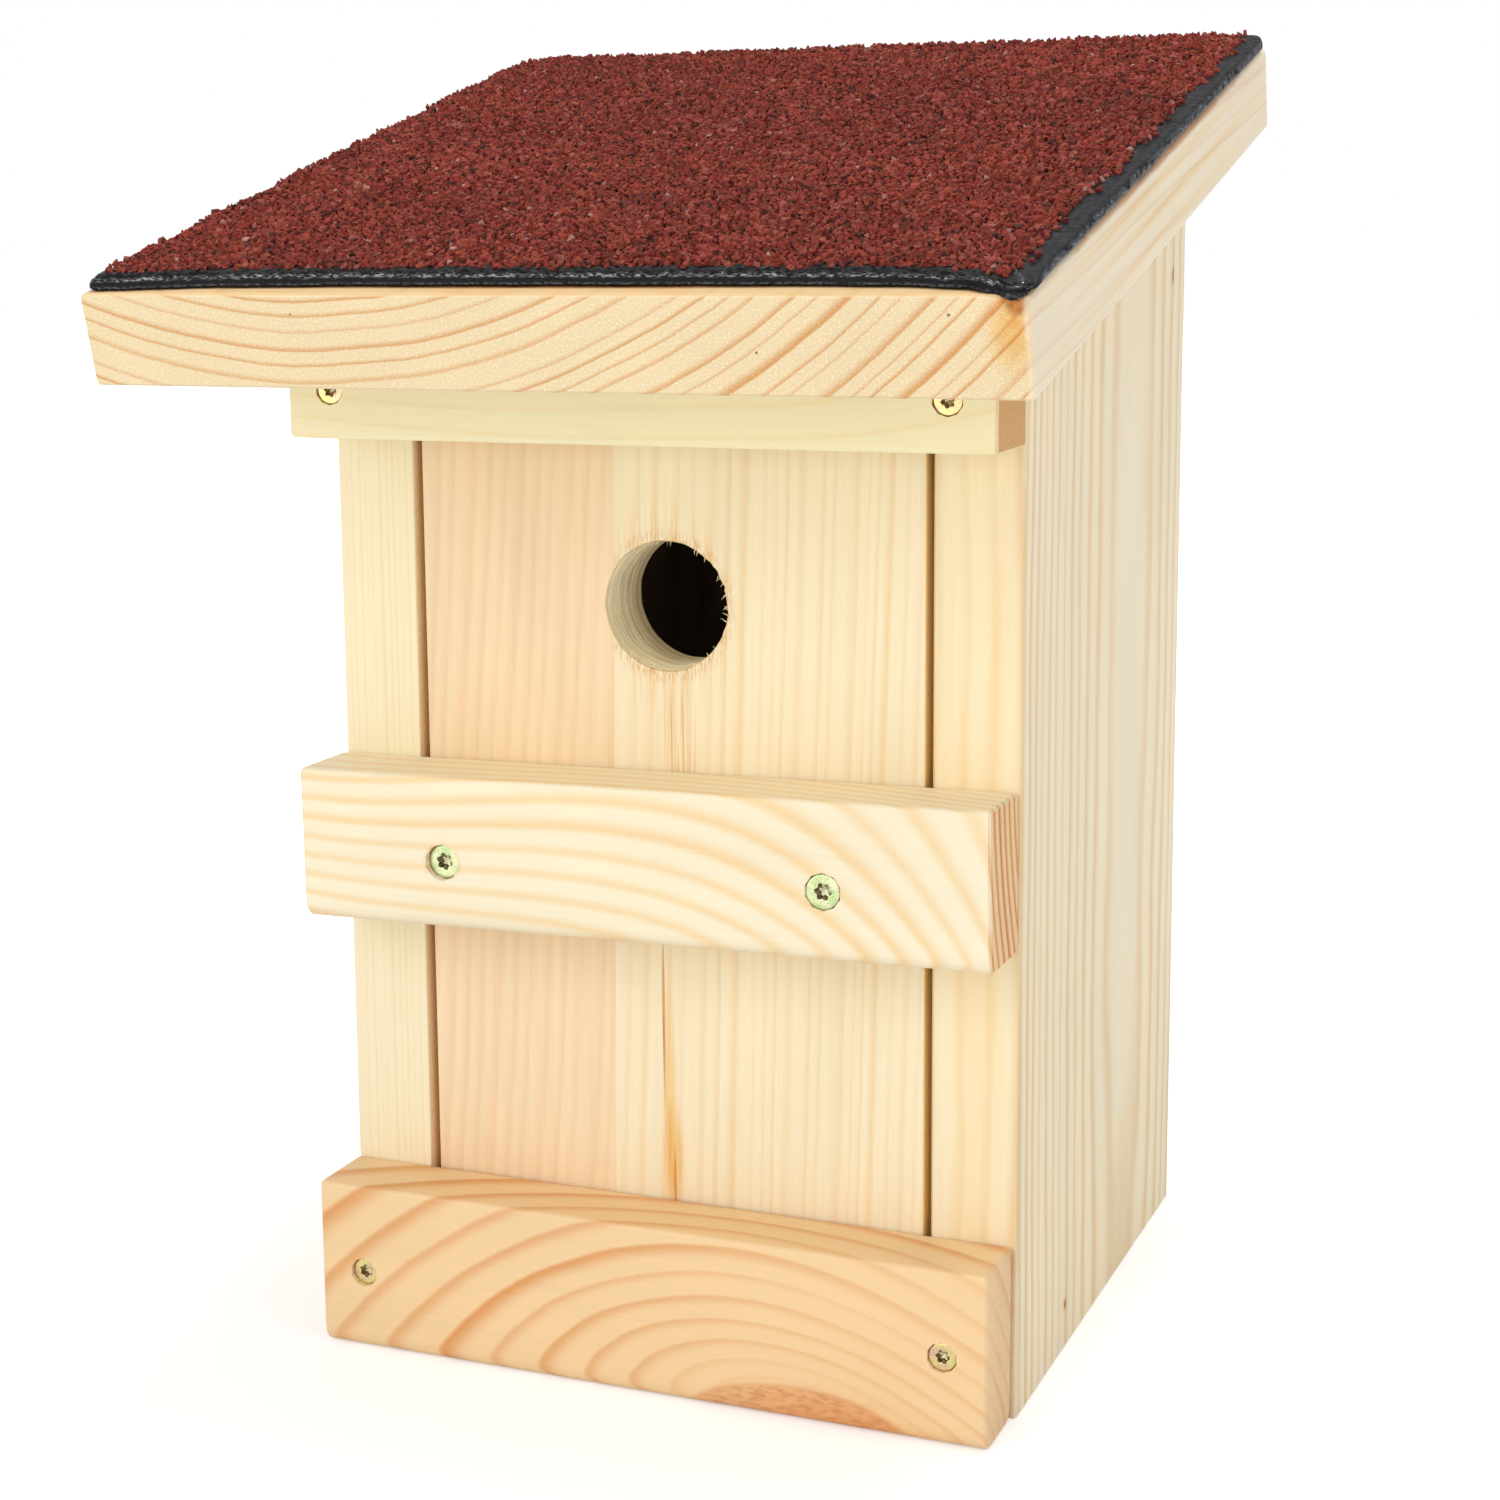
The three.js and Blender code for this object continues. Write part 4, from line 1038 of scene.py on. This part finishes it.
def makeScrew(kind):
    # one screw with its head's top at the origin, facing +Z
    size, look = screwKinds[kind], screwLook
    around, tip = look["around"], look["tip"]
    turn = np.arange(around) / around * 2 * math.pi
    lobes = size["recess"] / 2 * (look["lobeMean"] + look["lobeSwing"] * np.cos(look["lobes"] * turn))
    plain = np.ones(around)
    head, shank, core = size["head"] / 2, size["shank"] / 2, size["core"] / 2
    deep, threadFrom, length = size["recessDepth"], size["threadFrom"], size["length"]
    recess = [(0.12, -deep - 0.35), (0.55, -deep - 0.1), (0.8, -deep + 0.05), (0.87, -deep + 0.3),
              (0.95, -deep * 0.5), (0.98, -0.3), (1.0, -0.1), (1.05, -0.03), (1.1, 0.0)]
    rings = [(lobes * share, z) for share, z in recess]
    rings += [(lobes * 0.5 + size["recess"] * 0.33, 0.0), (plain * (head * 0.8), 0.0)]
    rings += [(plain * (head - inset), z) for inset, z in (
        (0.3, -0.01), (0.12, -0.05), (0.03, -0.15), (0, -0.26), (0, -0.42), (0.1, -0.55))]
    # ribs under the head
    under = head - shank + 0.5
    ribs = 1 - 0.05 * (np.cos(look["ribs"] * turn) > 0.3)
    rings += [(ribs * (shank + (head - shank) * share), -0.55 - (under - 0.55) * (1 - share))
              for share in (0.85, 0.6, 0.35, 0.12)]
    rings += [(plain * shank * 0.92, -under - 0.6), (plain * shank * 0.92, -threadFrom)]
    threaded = length - tip - threadFrom
    steps = int(threaded / size["pitch"] * look["threadSteps"])
    for i in range(1, steps + 1):
        z = -threadFrom - threaded * i / steps
        phase = (turn / (2 * math.pi) - z / size["pitch"]) % 1.0
        crest = np.clip(1 - np.abs(phase - 0.5) / 0.22, 0, 1) * min(1.0, i / 8)
        rings.append((core + (shank - core) * crest, z))
    rings += [(plain * core * share, -length + tip * share) for share in (0.75, 0.5, 0.25, 0.03)]
    points = [(r * math.cos(t), r * math.sin(t), z) for radius, z in rings for r, t in zip(radius, turn)]
    screw = meshPiece("screw_" + kind, points, loftFaces(len(rings), around))
    paintMesh(screw, recess=np.repeat([i < len(recess) - 1 for i in range(len(rings))], around))
    screw.data.set_sharp_from_angle(angle=math.radians(38))
    return screw


def screwGroup(screw, material):
    # a screw on every point, its head turned to the front and its recess turned by the point's "turn"
    tree, given = geometryGroup("setScrews", Size=1.0, Lean=0.0)
    pattern = put(tree, "GeometryNodeObjectInfo", {"Object": screw}, out="Geometry")
    tilt = randomNumber(tree, -1.0, 1.0, 3).math("MULTIPLY_ADD", given["Lean"], math.radians(90))
    turn = combine(tree, tilt, carried(tree, "turn"), 0.0)
    screws = instances(tree, given["Geometry"], pattern, turn, given["Size"])
    return endGroup(tree, realised(tree, screws), material)


def setScrews(name, kind, nodeNames, body, material):
    screw = makeScrew(kind)
    carrier = meshPiece("screw_places", [screwPlaces[n][:3] for n in nodeNames], [])
    paintMesh(carrier, turn=[math.radians(screwPlaces[n][3]) for n in nodeNames])
    screws = runNodes(carrier, screwGroup(screw, material), {"Size": 1.0, "Lean": math.radians(0.5)}, name)
    bpy.data.objects.remove(screw)
    dress(screws, body, "zinc_steel", *nodeNames)


def zincMaterial(name, plain, tint, stain):
    # passivated zinc: a thin film that turns from one tint to another
    material, tree, place = newMaterial(name)
    inside, specks = painted(tree, "recess"), place.noise(2.2, 3.0)
    base = place.noise(0.32).ramp(0.38, 0.62).mix(plain, tint)
    base = (specks.ramp(0.56, 0.72) * 0.7).mix(base, stain)
    shade(tree, {"Base Color": (inside * 0.7).mix(base, "#a59a86"), "Metallic": 1.0,
                 "Roughness": specks * 0.25 + inside * -0.1 + 0.24}, (specks, 0.3, 0.1))
    return material


setScrews("bar_screws", "batten", ["top_bar_screw_left", "top_bar_screw_right", "bottom_bar_screw_left",
                                   "bottom_bar_screw_right"], "box",
          zincMaterial("yellow_zinc", "#d6cb86", "#d0b092", "#94864f"))
setScrews("grip_screws", "grip", ["grip_screw_left", "grip_screw_right"], "door",
          zincMaterial("green_zinc", "#a9b985", "#c3c69c", "#71764b"))


# Brads: bright steel pins, sunk a little into the side panels and the roof

def steelMaterial():
    material, tree, place = newMaterial("brad_steel")
    drawn = place.vector("MULTIPLY", (0.15, 6.0, 6.0)).noise()
    base = place.noise(0.8).ramp(0.35, 0.75).mix("#a8a9ab", "#77736c")
    shade(tree, {"Base Color": base, "Metallic": 1.0, "Roughness": drawn * 0.3 + 0.25}, (drawn, 0.3, 0.05))
    return material


bradSteel = steelMaterial()
for nodeName in nodes:
    if "brad" in nodeName:
        recolour(nodeName, bradSteel)

# Stage

floorLook = {"reach": 6.0, "tone": 0.82, "glow": 0.385, "farGlow": 0.9, "farFrom": 0.28, "farTo": 0.9}
skyLook = {"light": 0.55, "shown": 0.45}


def seenShare(tree):
    # 1 for what the camera sees, also in a reflection or through glass
    camera, glossy, through = [put(tree, "ShaderNodeLightPath", out=f"Is {ray} Ray")
                               for ray in ("Camera", "Glossy", "Transmission")]
    return camera.math("MAXIMUM", glossy).math("MAXIMUM", through)


def makeFloor():
    mesh = bpy.data.meshes.new("floor_sheet")
    reach, tone = floorLook["reach"], floorLook["tone"]
    mesh.from_pydata([(-reach, -reach, 0), (reach, -reach, 0), (reach, reach, 0), (-reach, reach, 0)], [],
                     [(0, 1, 2, 3)])
    material = bpy.data.materials.new("pale_floor")
    material.use_nodes = True
    tree = material.node_tree
    tree.nodes.remove(tree.nodes["Principled BSDF"])
    # the floor fades to white away from the box
    away = put(tree, "ShaderNodeTexCoord", out="Object").vector("LENGTH", out=1)
    far = away.ramp(floorLook["farFrom"], floorLook["farTo"])
    strength = seenShare(tree) * (far * floorLook["farGlow"] + floorLook["glow"])
    glow = put(tree, "ShaderNodeEmission", {"Color": (1, 1, 1, 1), "Strength": strength})
    diffuse = put(tree, "ShaderNodeBsdfDiffuse", {"Color": (tone, tone, tone, 1.0)})
    both = put(tree, "ShaderNodeAddShader", {0: diffuse, 1: glow})
    feed(tree, tree.nodes["Material Output"].inputs["Surface"], both)
    mesh.materials.append(material)
    addObject("floor_sheet", mesh)


makeFloor()

lights = {
    "key": {"place": (-0.9, -2.2, 1.1), "size": 2.2, "watts": 29.0},
    "fill": {"place": (1.9, -1.0, 0.9), "size": 1.6, "watts": 9.0},
    "top": {"place": (0.2, 0.1, 2.2), "size": 0.5, "watts": 16.0},
}
for lightName, value in lights.items():
    lamp = bpy.data.lights.new(lightName, "AREA")
    lamp.size = value["size"]
    lamp.energy = value["watts"]
    lampObject = addObject(lightName, lamp)
    lampObject.location = value["place"]
    aim = Vector((0, 0, 0.16)) - lampObject.location
    lampObject.rotation_euler = aim.to_track_quat("-Z", "Y").to_euler()

world = bpy.data.worlds.new("studio")
scene.world = world
world.use_nodes = True
background = world.node_tree.nodes["Background"]
background.inputs["Color"].default_value = (1, 1, 1, 1)
feed(world.node_tree, background.inputs["Strength"],
     seenShare(world.node_tree) * skyLook["shown"] + skyLook["light"])

# Camera, from the corners of the box in the photograph. Its place is in metres.
view = {"place": (0.25832, -0.64837, 0.29164), "azimuth": 23.252, "elevation": 9.603, "roll": -0.719,
        "lens": 65.72, "shift": (0.0623, -0.0551)}


def makeCamera():
    data = bpy.data.cameras.new("camera")
    data.sensor_width = 36
    data.lens = view["lens"]
    data.shift_x, data.shift_y = view["shift"]
    data.clip_start, data.clip_end = 0.02, 50
    azimuth, elevation, roll = [math.radians(view[k]) for k in ("azimuth", "elevation", "roll")]
    back = Vector((math.sin(azimuth) * math.cos(elevation), -math.cos(azimuth) * math.cos(elevation),
                   math.sin(elevation)))
    right = Vector((0, 0, 1)).cross(back).normalized()
    up = back.cross(right)
    rolledRight = right * math.cos(roll) + up * math.sin(roll)
    rolledUp = up * math.cos(roll) - right * math.sin(roll)
    scene.camera = addObject("camera", data)
    scene.camera.matrix_world = Matrix.LocRotScale(
        Vector(view["place"]), Matrix((rolledRight, rolledUp, back)).transposed(), None)


makeCamera()
scene.view_settings.view_transform = "Standard"
